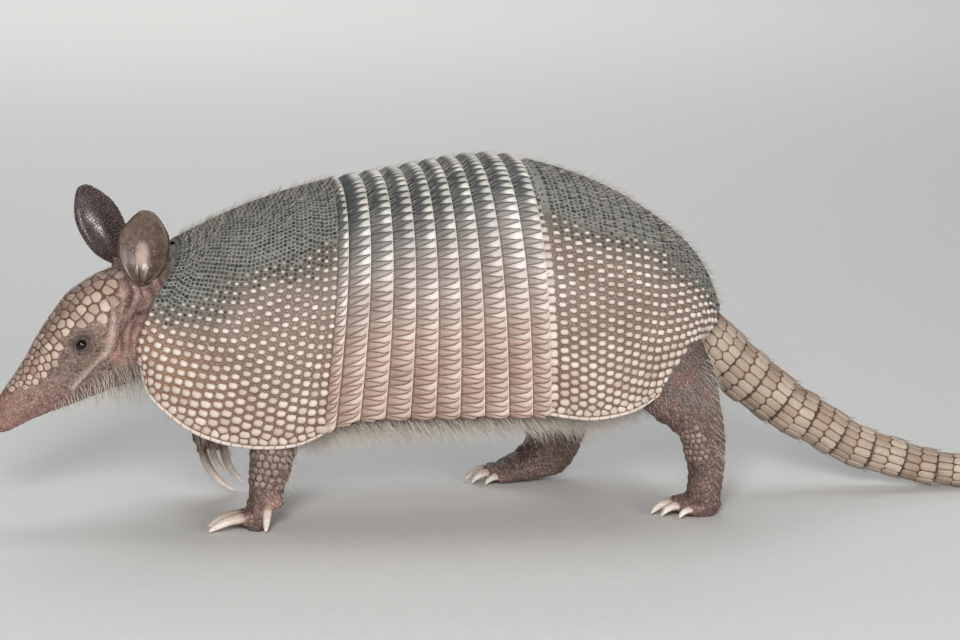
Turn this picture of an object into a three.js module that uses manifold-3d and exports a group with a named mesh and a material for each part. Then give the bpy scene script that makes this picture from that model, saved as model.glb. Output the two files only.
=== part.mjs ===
// A nine-banded armadillo, life size, caught in mid stride: a still model in named parts.
// Millimetres, +Z up. The head points along -X, the animal's left side is -Y and the ground is z = 0.
import * as THREE from "three";
import { mergeVertices } from "three/addons/utils/BufferGeometryUtils.js";
import Module from "manifold-3d";

const wasm = await Module();
wasm.setup();

// ---- driving dimensions ------------------------------------------------------------------------
const GAP = 0.3; // clearance between neighbouring parts

const SHELL_THICKNESS = 3;
const RIM_ANGLE = 115; // degrees from the top of the back to the lower rim
const FLANK_ANGLE = 108; // how far round the body follows the shell before it turns in to the belly
const ROUNDNESS = 0.88; // power of sine and cosine in a cross-section: 1 is an ellipse, less is squarer
const ARC_STEPS = 16; // facets over the back, rim to rim
const BAND_COUNT = 9;
const BANDS_START = 0.3; // share of the shell's length where the first movable band begins
const BANDS_END = 0.625; // and where the last one ends
const LAST_BAND_SHARE = 0.8; // the last band is narrower than the others
const BAND_STEP = 1.2; // how much lower a band's front edge lies than the rear edge over it

const HEAD_ORIGIN = [-176, 0, 113];
const HEAD_PITCH = 34; // degrees that the muzzle points down
const HEAD_YAW = 12; // degrees that it turns to the animal's left
const HEAD_SHIELD_THICKNESS = 2;
const EYE_RADIUS = 3.4;
const EYE_PLACE = [33.6, 14.7, 6.6]; // along the head, out to the side, up

const TAIL_RINGS = 12;
const TAIL_ROOT = 12; // how much of the tail hides under the shell
const RINGED_LENGTH = 236; // length of tail that has rings
const TAIL_LENGTH = 329;
const RING_FLARE = 0.9; // how far the rear edge of a ring stands out over the next ring

const COLOURS = {
  skin: 0x8a6f66,
  shell: 0xb5a697,
  ear: 0x4a3a34,
  eye: 0x0c0a09,
  claw: 0xd8cdbb,
};

// ---- helpers -----------------------------------------------------------------------------------
const radians = THREE.MathUtils.degToRad;
const lerp = THREE.MathUtils.lerp;
const vector = (p) => new THREE.Vector3(...p);

// A smooth function through knots [t, a, b, ...]: cubic, with slopes from the neighbouring knots.
function through(knots) {
  const last = knots.length - 1;
  const slope = (i, column) => {
    const before = knots[Math.max(i - 1, 0)];
    const after = knots[Math.min(i + 1, last)];
    return (after[column] - before[column]) / (after[0] - before[0]);
  };
  return (t) => {
    let i = 0;
    while (i < last - 1 && t > knots[i + 1][0]) i++;
    const [a, b] = [knots[i], knots[i + 1]];
    const span = b[0] - a[0];
    const u = THREE.MathUtils.clamp((t - a[0]) / span, 0, 1);
    return a.slice(1).map((value, k) => {
      const column = k + 1;
      return (
        value * (1 + 2 * u) * (1 - u) ** 2 +
        slope(i, column) * span * u * (1 - u) ** 2 +
        b[column] * u * u * (3 - 2 * u) +
        slope(i + 1, column) * span * u * u * (u - 1)
      );
    });
  };
}

const signedPower = (value, power) => Math.sign(value) * Math.abs(value) ** power;

// A closed geometry from points and triangles, with its faces turned outwards.
function closed(points, triangles) {
  let volume = 0;
  for (const [a, b, c] of triangles)
    volume += points[a].dot(new THREE.Vector3().crossVectors(points[b], points[c]));
  const index = triangles.flatMap(([a, b, c]) => (volume < 0 ? [a, c, b] : [a, b, c]));
  return new THREE.BufferGeometry().setFromPoints(points).setIndex(index);
}

// A solid skinned over rings of points, with a fan over each end.
function loft(rings) {
  const sides = rings[0].length;
  const points = rings.flat();
  const triangles = [];
  for (let i = 0; i + 1 < rings.length; i++)
    for (let j = 0; j < sides; j++) {
      const next = (j + 1) % sides;
      const [a, b] = [i * sides + j, i * sides + next];
      triangles.push([a, b, b + sides], [a, b + sides, a + sides]);
    }
  for (const end of [0, rings.length - 1]) {
    const middle = new THREE.Vector3();
    rings[end].forEach((p) => middle.addScaledVector(p, 1 / sides));
    points.push(middle);
    for (let j = 0; j < sides; j++) {
      const edge = [end * sides + j, end * sides + ((j + 1) % sides)];
      if (end === 0) edge.reverse();
      triangles.push([...edge, points.length - 1]);
    }
  }
  return closed(points, triangles);
}

// A curved plate between an outer and an inner grid of points, both [row][column].
function plate(outer, inner) {
  const [rows, columns] = [outer.length, outer[0].length];
  const points = [...outer.flat(), ...inner.flat()];
  const at = (side, i, j) => side * rows * columns + i * columns + j;
  const triangles = [];
  const quad = (a, b, c, d) => triangles.push([a, b, c], [a, c, d]);
  for (let i = 0; i + 1 < rows; i++)
    for (let j = 0; j + 1 < columns; j++) {
      quad(at(0, i, j), at(0, i, j + 1), at(0, i + 1, j + 1), at(0, i + 1, j));
      quad(at(1, i, j), at(1, i + 1, j), at(1, i + 1, j + 1), at(1, i, j + 1));
    }
  for (let j = 0; j + 1 < columns; j++) {
    quad(at(0, 0, j), at(1, 0, j), at(1, 0, j + 1), at(0, 0, j + 1));
    quad(at(0, rows - 1, j), at(0, rows - 1, j + 1), at(1, rows - 1, j + 1), at(1, rows - 1, j));
  }
  for (let i = 0; i + 1 < rows; i++) {
    quad(at(0, i, 0), at(0, i + 1, 0), at(1, i + 1, 0), at(1, i, 0));
    quad(at(0, i, columns - 1), at(1, i, columns - 1), at(1, i + 1, columns - 1), at(0, i + 1, columns - 1));
  }
  return closed(points, triangles);
}

// An oval section tube. A knot is [t, x, y, z, radius in the stride's plane, radius across it].
function limb(knots, steps, sides = 10) {
  const shape = through(knots);
  const [first, last] = [knots[0][0], knots[knots.length - 1][0]];
  const rings = [];
  for (let i = 0; i <= steps; i++) {
    const t = lerp(first, last, i / steps);
    const nudge = (last - first) * 1e-3;
    const [x, y, z, along, across] = shape(t);
    const ahead = vector(shape(Math.min(t + nudge, last)).slice(0, 3));
    const tangent = ahead.sub(vector(shape(Math.max(t - nudge, first)).slice(0, 3))).normalize();
    const side = new THREE.Vector3(0, 1, 0).addScaledVector(tangent, -tangent.y).normalize();
    const front = new THREE.Vector3().crossVectors(side, tangent);
    rings.push(
      Array.from({ length: sides }, (_, j) => {
        const angle = (2 * Math.PI * j) / sides;
        return new THREE.Vector3(x, y, z)
          .addScaledVector(front, along * Math.cos(angle))
          .addScaledVector(side, across * Math.sin(angle));
      }),
    );
  }
  return loft(rings);
}

// A closed geometry as a solid that can be cut and joined.
function solid(geometry) {
  const plain = geometry.clone();
  plain.deleteAttribute("normal");
  plain.deleteAttribute("uv");
  const merged = mergeVertices(plain, 1e-4);
  return new wasm.Manifold(
    new wasm.Mesh({
      numProp: 3,
      vertProperties: merged.attributes.position.array,
      triVerts: new Uint32Array(merged.index.array),
    }),
  );
}

function geometryOf(body) {
  const mesh = body.getMesh();
  return new THREE.BufferGeometry()
    .setAttribute("position", new THREE.BufferAttribute(mesh.vertProperties, 3))
    .setIndex(new THREE.BufferAttribute(mesh.triVerts, 1));
}

const FLOOR = solid(new THREE.BoxGeometry(1400, 600, 200).translate(0, 0, -100));

// ---- the shell ---------------------------------------------------------------------------------
// s runs from 0 at the neck to 1 at the tail. A ring lies in the plane through its back and rim points.
const BACK = through([
  [0, -151, 151],
  [0.1, -121, 165],
  [0.2, -91, 175.5],
  [0.3, -61.2, 182.5],
  [0.41, -28, 187.5],
  [0.52, 3, 192.5],
  [0.58, 21, 193.8],
  [0.625, 38, 191.8],
  [0.72, 72, 181.5],
  [0.81, 101, 167.5],
  [0.9, 128, 147.5],
  [0.95, 141, 131],
  [1, 151, 108.5],
]);
const RIM = through([
  [0, -175, 90],
  [0.04, -171, 75],
  [0.08, -161, 64],
  [0.12, -148, 54.5],
  [0.16, -131, 48],
  [0.205, -112, 45.5],
  [0.25, -93, 47],
  [0.3, -73, 55.5],
  [0.34, -59, 59.5],
  [0.46, -15, 60],
  [0.625, 43.5, 59],
  [0.7, 66, 56.2],
  [0.78, 86, 58],
  [0.84, 98, 62],
  [0.89, 111, 70],
  [0.94, 123, 79],
  [1, 136, 89],
]);
// Half width, and the height of the widest level as a share of the height from rim to back.
const GIRTH = through([
  [0, 42, 0.4],
  [0.1, 53, 0.39],
  [0.2, 61, 0.37],
  [0.3, 66.5, 0.36],
  [0.45, 70, 0.36],
  [0.6, 73, 0.37],
  [0.7, 72, 0.38],
  [0.8, 67, 0.4],
  [0.88, 60, 0.43],
  [0.94, 48, 0.47],
  [1, 27, 0.5],
]);
// The lowest line of the belly.
const BELLY = through([
  [0, -163, 76],
  [0.1, -138, 54],
  [0.2, -108, 46],
  [0.3, -70, 44],
  [0.45, -10, 45],
  [0.625, 44, 47],
  [0.75, 78, 49],
  [0.85, 100, 57],
  [0.93, 118, 70],
  [1, 132, 82],
]);

const smooth = (low, high, value) => {
  const u = THREE.MathUtils.clamp((value - low) / (high - low), 0, 1);
  return u * u * (3 - 2 * u);
};
// How far the front edge of the shell bows forwards on each flank.
const FRONT_BOW = 6.8;

// A point of the shell's outer surface; angle is in degrees from the top of the back.
function shellSurface(s, angle) {
  const [backX, backZ] = BACK(s);
  const [rimX, rimZ] = RIM(s);
  const [halfWidth, widest] = GIRTH(s);
  const [sine, cosine] = [Math.sin(radians(angle)), Math.cos(radians(angle))];
  const share =
    cosine > 0
      ? widest + (1 - widest) * cosine ** ROUNDNESS
      : widest * (1 - cosine / Math.cos(radians(RIM_ANGLE)));
  const turn = Math.abs(angle);
  const bow = FRONT_BOW * smooth(0.13, 0, s) * smooth(30, 88, turn) * smooth(116, 98, turn);
  return new THREE.Vector3(
    lerp(rimX, backX, share) - bow,
    halfWidth * signedPower(sine, ROUNDNESS),
    lerp(rimZ, backZ, share),
  );
}

// The same surface moved inwards by a depth along its normal.
function shellPoint(s, angle, depth) {
  const [ds, da] = [0.004, 1];
  const [s0, s1] = [Math.max(s - ds, 0), Math.min(s + ds, 1)];
  const along = shellSurface(s1, angle).sub(shellSurface(s0, angle));
  const around = shellSurface(s, angle + da).sub(shellSurface(s, angle - da));
  const inward = around.cross(along).normalize();
  return shellSurface(s, angle).addScaledVector(inward, depth);
}

// One plate of the shell from s0 to s1, whose front edge lies lower by a step.
function shellPlate(s0, s1, steps, step) {
  const grid = (depth) =>
    Array.from({ length: steps + 1 }, (_, i) =>
      Array.from({ length: ARC_STEPS + 1 }, (_, j) =>
        shellPoint(
          lerp(s0, s1, i / steps),
          lerp(-RIM_ANGLE, RIM_ANGLE, j / ARC_STEPS),
          depth === 0 ? lerp(step, 0, i / steps) : depth,
        ),
      ),
    );
  return plate(grid(0), grid(SHELL_THICKNESS));
}

// The ends of the bands, as shares of the shell's length.
function bandEdges() {
  const width = (BANDS_END - BANDS_START) / (BAND_COUNT - 1 + LAST_BAND_SHARE);
  const edges = Array.from({ length: BAND_COUNT }, (_, i) => BANDS_START + i * width);
  return [...edges, BANDS_END];
}

// The body under the shell, closed below by the belly.
function trunk() {
  const [front, rear, steps, sides] = [0.07, 0.955, 12, 20];
  const clearance = SHELL_THICKNESS + 4 * GAP;
  const rings = [];
  for (let i = 0; i <= steps; i++) {
    const s = lerp(front, rear, i / steps);
    const [bellyX, bellyZ] = BELLY(s);
    rings.push(
      Array.from({ length: sides }, (_, j) => {
        const angle = (360 * j) / sides;
        const turn = angle > 180 ? angle - 360 : angle;
        if (Math.abs(turn) <= FLANK_ANGLE) return shellPoint(s, turn, clearance);
        const flank = shellPoint(s, Math.sign(turn) * FLANK_ANGLE, clearance);
        const around = radians((90 * (Math.abs(turn) - FLANK_ANGLE)) / (180 - FLANK_ANGLE));
        return new THREE.Vector3(
          lerp(flank.x, bellyX, Math.sin(around)),
          flank.y * Math.cos(around),
          lerp(flank.z, bellyZ, Math.sin(around)),
        );
      }),
    );
  }
  return rings;
}

// ---- the head ----------------------------------------------------------------------------------
// Sections along the head from the nape: top, bottom, half width and the level of the widest point.
const HEAD = through([
  [-14, 22, -31, 18, -4],
  [0, 26.5, -35, 21.5, -5],
  [8, 27.8, -34.5, 21.8, -6],
  [20, 28.3, -32, 20.8, -5.5],
  [34, 24.6, -27, 17.2, -2],
  [47, 20.2, -23.2, 13.8, -2],
  [60, 14.3, -19.2, 10.6, -2.5],
  [74, 9.6, -14.6, 8.6, -3],
  [84, 6.6, -12.4, 7.9, -3.5],
  [92, 4.5, -10.5, 7.3, -3.5],
  [96.5, 2.5, -8.5, 6, -3.5],
]);
const HEAD_BACK = -14;
const HEAD_TIP = 96.5;
const SHIELD_REACH = through([
  [-8, 20],
  [-2, 42],
  [5, 58],
  [16, 66],
  [25, 62],
  [34, 54],
  [45, 60],
  [57, 68],
  [70, 56],
  [78, 36],
]); // half angle that the head shield covers, from the nape to the muzzle

// Where a point of the head's own frame (along, side, up) lies in the body.
function headToBody(along, side, up) {
  return new THREE.Vector3(-along, side, up)
    .applyAxisAngle(new THREE.Vector3(0, 1, 0), -radians(HEAD_PITCH))
    .applyAxisAngle(new THREE.Vector3(0, 0, 1), radians(HEAD_YAW))
    .add(vector(HEAD_ORIGIN));
}

function headPoint(along, angle, grow = 0) {
  const [top, bottom, halfWidth, level] = HEAD(along);
  const [sine, cosine] = [Math.sin(radians(angle)), Math.cos(radians(angle))];
  const reach = cosine > 0 ? top - level : level - bottom;
  return headToBody(
    along,
    (halfWidth + grow) * signedPower(sine, ROUNDNESS),
    level + (reach + grow) * signedPower(cosine, ROUNDNESS),
  );
}

function headRing(along, sides = 18, grow = 0) {
  return Array.from({ length: sides }, (_, j) => headPoint(along, (360 * j) / sides, grow));
}

function headSolid() {
  const stations = [HEAD_BACK, -4, 6, 15, 24, 33, 42, 52, 63, 74, 84, 92, HEAD_TIP];
  return solid(loft(stations.map((along) => headRing(along))));
}

// The head shield: a plate let into the top of the head, or with a margin the pocket for it.
function headShield(margin) {
  const [rows, columns] = [9, 6];
  const grid = (grow) =>
    Array.from({ length: rows + 1 }, (_, i) => {
      const along = lerp(-8 - margin, 78 + margin, i / rows);
      const reach = SHIELD_REACH(along)[0] + 2 * margin;
      return Array.from({ length: columns + 1 }, (_, j) =>
        headPoint(along, lerp(-reach, reach, j / columns), grow),
      );
    });
  return plate(grid(margin ? 3 : 0.2), grid(-HEAD_SHIELD_THICKNESS - margin));
}

function eye(side, radius) {
  const [along, out, up] = EYE_PLACE;
  const place = headToBody(along, side * out, up);
  return new THREE.SphereGeometry(radius, 8, 6).translate(place.x, place.y, place.z);
}

// ---- ears --------------------------------------------------------------------------------------
// Half width and cup depth along the ear, from its base.
const EAR_SHAPE = through([
  [0, 1.8, 1.2],
  [0.075, 5.3, 3],
  [0.15, 8.5, 4.6],
  [0.25, 11.6, 5.8],
  [0.35, 13.1, 6.2],
  [0.45, 13.9, 6],
  [0.6, 13.9, 5],
  [0.72, 12.6, 3.8],
  [0.82, 10, 2.6],
  [0.91, 7, 1.4],
  [0.97, 4.3, 0.6],
  [1, 2, 0.3],
]);
const EAR_THICKNESS = 2;
const EARS = {
  left: { base: [-172.2, -25.5, 130.8], tip: [-168.2, -25, 171.6], faces: [-0.3, -1, 0], width: 1 },
  right: { base: [-178.5, 11.5, 136.5], tip: [-199.2, 20, 179.6], faces: [-0.35, 1, 0], width: 0.92 },
};

// The short fleshy roots of the ears, from inside the head to low on the back of the cup.
const EAR_ROOTS = {
  left: [
    [0, -174, -11, 125, 7, 7],
    [1, -172.3, -17, 130.5, 6, 6],
    [2, -170.9, -21.6, 137, 3.6, 3.6],
  ],
  right: [
    [0, -176, 6, 127, 7, 7],
    [1, -178.5, 9, 135, 6, 6],
    [2, -180.5, 11, 143, 3.4, 3.4],
  ],
};

function ear({ base, tip, faces, width }, root) {
  const [rows, columns] = [7, 6];
  const up = vector(tip).sub(vector(base));
  const length = up.length();
  up.normalize();
  const front = vector(faces).addScaledVector(up, -vector(faces).dot(up)).normalize();
  const across = new THREE.Vector3().crossVectors(up, front);
  const grid = (back) =>
    Array.from({ length: rows + 1 }, (_, i) => {
      const [halfWidth, depth] = EAR_SHAPE(i / rows);
      return Array.from({ length: columns + 1 }, (_, j) => {
        const q = lerp(-1, 1, j / columns);
        return vector(base)
          .addScaledVector(up, (length * i) / rows)
          .addScaledVector(across, q * (halfWidth * width - 0.4 * back))
          .addScaledVector(front, -depth * (1 - q * q) - back);
      });
    });
  return solid(plate(grid(0), grid(EAR_THICKNESS))).add(solid(limb(root, 2, 6)));
}

// ---- legs, feet and claws ----------------------------------------------------------------------
const LEGS = {
  front_leg_left: [
    [0, -112, -34, 100, 24, 14],
    [1, -103, -41, 68, 17, 13.5],
    [2, -104, -43, 46, 13.3, 11.5],
    [3, -108, -43.5, 20, 9.2, 9],
  ],
  front_leg_right: [
    [0, -116, 34, 100, 24, 14],
    [1, -108, 40, 76, 17, 13],
    [2, -113, 42.5, 60, 12.5, 11],
    [3, -124, 43, 47, 9.6, 9],
  ],
  hind_leg_left: [
    [0, 92, -28, 108, 30, 16],
    [1, 108, -38, 86, 26, 15],
    [2, 120, -47, 67, 21.5, 14.5],
    [3, 129.5, -52, 49, 13.5, 12.2],
    [4, 133, -53, 31, 10.6, 9.8],
  ],
  hind_leg_right: [
    [0, 94, 30, 110, 32, 17],
    [1, 91, 39, 84, 25, 15.5],
    [2, 80, 45, 56, 20, 15],
    [3, 70.5, 46, 33, 16.5, 12.5],
  ],
};
// The palm or sole of each foot, as a limb that leads on from its leg.
const PALMS = {
  front_left: [
    [0, -108.4, -43.5, 19.5, 9, 8.8],
    [1, -112.4, -43.4, 9, 6.9, 9.4],
    [2, -114, -43, -3, 5.9, 9.2],
  ],
  front_right: [
    [0, -124.5, 43, 46.5, 9.4, 9],
    [1, -129, 43, 40, 8.8, 10.4],
    [2, -130.5, 43, 31, 7, 10.8],
  ],
  hind_left: [
    [0, 133.2, -53, 30.5, 10.4, 9.8],
    [1, 132, -53, 14, 9.4, 10.8],
    [2, 128.5, -53, -3, 10.5, 11.5],
  ],
  hind_right: [
    [0, 70.4, 46, 32.5, 16.3, 12.4],
    [1, 66, 46, 19, 16, 12],
    [2, 54, 46.5, 10, 10.5, 12],
    [3, 40, 47, 5.2, 7, 12.5],
  ],
};
// A toe is [root, end, radius at the root, claw tip, claw sag]; the claw goes on from the toe's end.
const TOES = {
  front_left: [
    [[-109, -36, 8], [-117, -34.5, 6.5], 4.2, [-126.5, -33.5, 0.9], 1.4],
    [[-111, -41, 7.5], [-121.5, -40.5, 6.8], 4.8, [-139.5, -39, 0.9], 1.2],
    [[-111, -47, 7.5], [-121.5, -48, 6.8], 4.8, [-140.5, -51, 0.9], 1.2],
    [[-105, -49.5, 16.5], [-108.8, -53.5, 12.6], 4.2, [-110.2, -56, 0.9], 0.5],
  ],
  front_right: [
    [[-129, 36, 36], [-128.5, 34, 28.5], 4, [-121, 33, 15], -1.6],
    [[-131, 40.5, 34], [-133, 40, 25], 4.8, [-114.5, 40, 2.4], -3.6],
    [[-123, 46.5, 33], [-120.5, 47, 25.5], 4.8, [-108.5, 47.5, 5], -2.6],
    [[-124, 50.5, 37], [-122, 53, 31], 4.2, [-114.5, 54.5, 19], -1.4],
  ],
  hind_left: [
    [[128, -44, 5.5], [120, -42.5, 4.5], 4, [112.5, -41.5, 0.9], 1.2],
    [[126, -48, 6.5], [116, -47.5, 5.5], 4.6, [105, -47, 0.9], 1.8],
    [[125, -53, 6.5], [114.5, -53.5, 5.5], 4.8, [102, -53.5, 0.9], 1.9],
    [[126, -58, 6.5], [116.5, -59.5, 5.5], 4.6, [106, -60.5, 0.9], 1.8],
    [[128.5, -62, 5.5], [122, -64.5, 4.5], 4, [114.5, -66.5, 0.9], 1.2],
  ],
  hind_right: [
    [[42, 38, 5], [35, 36.5, 4.5], 4, [27, 35.5, 0.9], 1.2],
    [[40, 42, 6], [31, 41.5, 5.5], 4.6, [20.5, 41, 0.9], 1.8],
    [[39, 47, 6], [29.5, 47.5, 5.5], 4.8, [17.5, 48, 0.9], 1.9],
    [[40, 52, 6], [31.5, 53.5, 5.5], 4.6, [21.5, 54.5, 0.9], 1.8],
    [[42.5, 56, 5], [37, 58.5, 4.5], 4, [30, 60.5, 0.9], 1.2],
  ],
};
const TOE_TAPER = 0.78; // radius of a toe's end as a share of its root's
const CLAW_SHARE = 0.8; // radius of a claw's base as a share of its toe's end

// A tube with its own radii along a straight or bowed line, ending in a blunt point.
function horn(from, to, sag, radii, sides) {
  const [a, b] = [vector(from), vector(to)];
  const direction = b.clone().sub(a).normalize();
  const level = Math.abs(direction.z) > 0.9 ? new THREE.Vector3(0, 1, 0) : new THREE.Vector3(0, 0, 1);
  const side = new THREE.Vector3().crossVectors(direction, level).normalize();
  const up = new THREE.Vector3().crossVectors(side, direction);
  const last = radii.length - 1;
  return loft(
    radii.map((radius, i) => {
      const u = i / last;
      const middle = a.clone().lerp(b, u).addScaledVector(up, sag * 4 * u * (1 - u));
      return Array.from({ length: sides }, (_, j) => {
        const angle = (2 * Math.PI * j) / sides;
        return middle
          .clone()
          .addScaledVector(side, radius * Math.cos(angle))
          .addScaledVector(up, radius * Math.sin(angle));
      });
    }),
  );
}

function toe([root, end, radius], grow = 0) {
  const out = vector(end).sub(vector(root)).normalize().multiplyScalar(grow);
  const radii = [1, TOE_TAPER].map((share) => radius * share + grow);
  return horn(root, vector(end).add(out).toArray(), 0, radii, 7);
}

function claw([, end, radius, tip, sag]) {
  const base = radius * TOE_TAPER * CLAW_SHARE;
  const taper = [1, 0.8, 0.16].map((share) => base * share);
  return horn(end, tip, sag, taper, 6);
}

// ---- the tail ----------------------------------------------------------------------------------
// Distance along the tail, the middle of it there, and its radius.
const TAIL = through([
  [-12, 135.5, 0, 98, 15.8],
  [0, 144, 0, 89.1, 16.3],
  [26, 163, 0, 71.1, 16.2],
  [46.4, 179, -0.5, 58.1, 15.4],
  [66.6, 195, -2, 45.9, 14.5],
  [83.8, 209.8, -4, 37.6, 13.5],
  [107, 229, -7, 25.6, 12.5],
  [131, 251.7, -10.5, 17.9, 11.4],
  [153.5, 272.6, -14, 12, 10.4],
  [187, 305, -21, 8.6, 8.8],
  [225.5, 342, -32, 6.8, 7],
  [265, 380, -43, 5, 5.2],
  [301, 415, -50, 3.2, 3.4],
  [329, 442, -52, 1.8, 1.9],
]);

function tailRing(t, radius, sides = 14) {
  const [x, y, z] = TAIL(t);
  const nudge = 0.5;
  const tangent = vector(TAIL(t + nudge).slice(0, 3)).sub(vector(TAIL(t - nudge).slice(0, 3)));
  tangent.normalize();
  const side = new THREE.Vector3(0, 1, 0).addScaledVector(tangent, -tangent.y).normalize();
  const up = new THREE.Vector3().crossVectors(side, tangent);
  return Array.from({ length: sides }, (_, j) => {
    const angle = (2 * Math.PI * j) / sides;
    return new THREE.Vector3(x, y, z)
      .addScaledVector(side, radius * Math.cos(angle))
      .addScaledVector(up, radius * Math.sin(angle));
  });
}

function tailLength(from, to, steps, flare) {
  const rings = Array.from({ length: steps + 1 }, (_, i) => {
    const t = lerp(from + GAP / 2, to - GAP / 2, i / steps);
    return tailRing(t, TAIL(t)[3] - flare * (1 - i / steps));
  });
  return solid(loft(rings)).subtract(FLOOR);
}

// ---- putting it together -----------------------------------------------------------------------
const armadillo = new THREE.Group();
const largest = (body) => body.decompose().sort((a, b) => b.volume() - a.volume())[0];

function add(name, body, kind) {
  const geometry = body.isBufferGeometry ? body : geometryOf(body);
  const roughness = kind === "eye" ? 0.1 : 0.7;
  const material = new THREE.MeshStandardMaterial({ color: COLOURS[kind], roughness, metalness: 0 });
  const mesh = new THREE.Mesh(geometry, material);
  mesh.name = name;
  armadillo.add(mesh);
}

// Moves a ring of points to a scaled copy of itself about its middle.
function scaledRing(ring, scale, shift) {
  const middle = new THREE.Vector3();
  ring.forEach((p) => middle.addScaledVector(p, 1 / ring.length));
  return ring.map((p) => p.clone().sub(middle).multiplyScalar(scale).add(middle).add(shift));
}

// The shell: two shields with the bands between them.
const edges = bandEdges();
const seam = GAP / 300; // half a gap between two plates, as a share of the shell's length
add("scapular_shield", shellPlate(0, BANDS_START - seam, 8, 0), "shell");
for (let i = 0; i < BAND_COUNT; i++)
  add(`band_${i + 1}`, shellPlate(edges[i] + seam, edges[i + 1] - seam, 1, BAND_STEP), "shell");
add("pelvic_shield", shellPlate(BANDS_END + seam, 1, 8, 0), "shell");

const trunkRings = trunk();
const trunkSolid = solid(loft(trunkRings));
// The space round the trunk is longer than the trunk at both ends too, so that nothing touches its ends.
const trunkEnds = { 0: -1.4 * GAP, [trunkRings.length - 1]: 1.4 * GAP };
const trunkClearance = solid(
  loft(trunkRings.map((ring, i) => scaledRing(ring, 1.012, new THREE.Vector3(trunkEnds[i] ?? 0, 0, 0)))),
);
add("trunk", trunkSolid, "skin");

// The head, with pockets for the eyes and the head shield.
const headCut = [solid(headShield(2 * GAP)), ...[-1, 1].map((side) => solid(eye(side, EYE_RADIUS + GAP)))];
const headBody = headCut.reduce((body, cut) => body.subtract(cut), headSolid());
add("head", headBody, "skin");
add("head_shield", headShield(0), "shell");
add("eye_left", eye(-1, EYE_RADIUS), "eye");
add("eye_right", eye(1, EYE_RADIUS), "eye");

// The neck, between the back of the head and the front of the trunk.
const headEnd = headRing(HEAD_BACK, 20);
const toNeck = headToBody(HEAD_BACK - 1, 0, 0).sub(headToBody(HEAD_BACK, 0, 0)).multiplyScalar(GAP * 4.2);
const neckFront = scaledRing(headEnd, 0.97, toNeck);
const neckRear = scaledRing(trunkRings[0], 0.93, new THREE.Vector3(-3 * GAP, 0, 0));
const neckRings = [0, 0.35, 0.7, 1].map((u) => neckFront.map((p, j) => p.clone().lerp(neckRear[j], u)));
add("neck", solid(loft(neckRings)).subtract(trunkClearance), "skin");

const headAndNeck = [
  solid(loft([HEAD_BACK - 2, 0, 12, 26, 40].map((along) => headRing(along, 18, GAP)))),
  solid(loft(neckRings.map((ring) => scaledRing(ring, 1.03, new THREE.Vector3())))),
];
for (const side of ["left", "right"]) {
  const pinna = headAndNeck.reduce((body, cut) => body.subtract(cut), ear(EARS[side], EAR_ROOTS[side]));
  add(`ear_${side}`, largest(pinna), "ear");
}

// Legs end where they meet the trunk and the shell; feet stand on the ground in small flats.
const shellClearance = solid(
  plate(
    ...[-6, SHELL_THICKNESS + 4 * GAP].map((depth) =>
      Array.from({ length: 15 }, (_, i) =>
        Array.from({ length: 13 }, (_, j) =>
          shellPoint(i / 14, lerp(-RIM_ANGLE - 1, RIM_ANGLE + 1, j / 12), depth),
        ),
      ),
    ),
  ),
);
for (const pair of ["front", "hind"])
  for (const side of ["left", "right"]) {
    const limbName = `${pair}_leg_${side}`;
    const footName = `${pair}_${side}`;
    const palm = solid(limb(PALMS[footName], 4));
    const toes = TOES[footName].map((shape) => solid(toe(shape)));
    const foot = toes.reduce((body, part) => body.add(part), palm).subtract(FLOOR).subtract(shellClearance);
    // The space round a foot is wider than the foot and starts a gap above its top.
    const [top, next] = PALMS[footName].map((k) => new THREE.Vector3(k[1], k[2], k[3]));
    const above = top.clone().sub(next).setLength(1.3 * GAP).toArray();
    const wide = (k, i) => [
      k[0],
      ...[0, 1, 2].map((axis) => k[axis + 1] + (i === 0 ? above[axis] : 0)),
      k[4] + GAP,
      k[5] + GAP,
    ];
    const grownPalm = solid(limb(PALMS[footName].map(wide), 4));
    const grownFoot = TOES[footName].reduce((body, shape) => body.add(solid(toe(shape, GAP))), grownPalm);
    const leg = solid(limb(LEGS[limbName], 5)).subtract(trunkClearance).subtract(shellClearance);
    add(limbName, largest(leg.subtract(grownFoot).subtract(foot.translate([0, 0, GAP]))), "skin");
    add(`${pair}_foot_${side}`, foot, "skin");
    TOES[footName].forEach((shape, i) => {
      const horny = largest(solid(claw(shape)).subtract(grownFoot).subtract(FLOOR));
      add(`${pair}_claw_${side}_${i + 1}`, horny, "claw");
    });
  }

// The tail: bony rings, each flared over the next, then a scaly end that lies on the ground.
const ringStep = RINGED_LENGTH / TAIL_RINGS;
const tailRoot = tailLength(-TAIL_ROOT, ringStep, 1, RING_FLARE);
add("tail_ring_1", largest(tailRoot.subtract(trunkClearance).subtract(shellClearance)), "shell");
for (let i = 1; i < TAIL_RINGS; i++)
  add(`tail_ring_${i + 1}`, tailLength(i * ringStep, (i + 1) * ringStep, 1, RING_FLARE), "shell");
add("tail_end", tailLength(RINGED_LENGTH, TAIL_LENGTH, 3, 0), "shell");

// The part's x = 0 is the middle of the whole length.
armadillo.position.x = -new THREE.Box3().setFromObject(armadillo).getCenter(new THREE.Vector3()).x;

export default armadillo;
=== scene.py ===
import math

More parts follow.
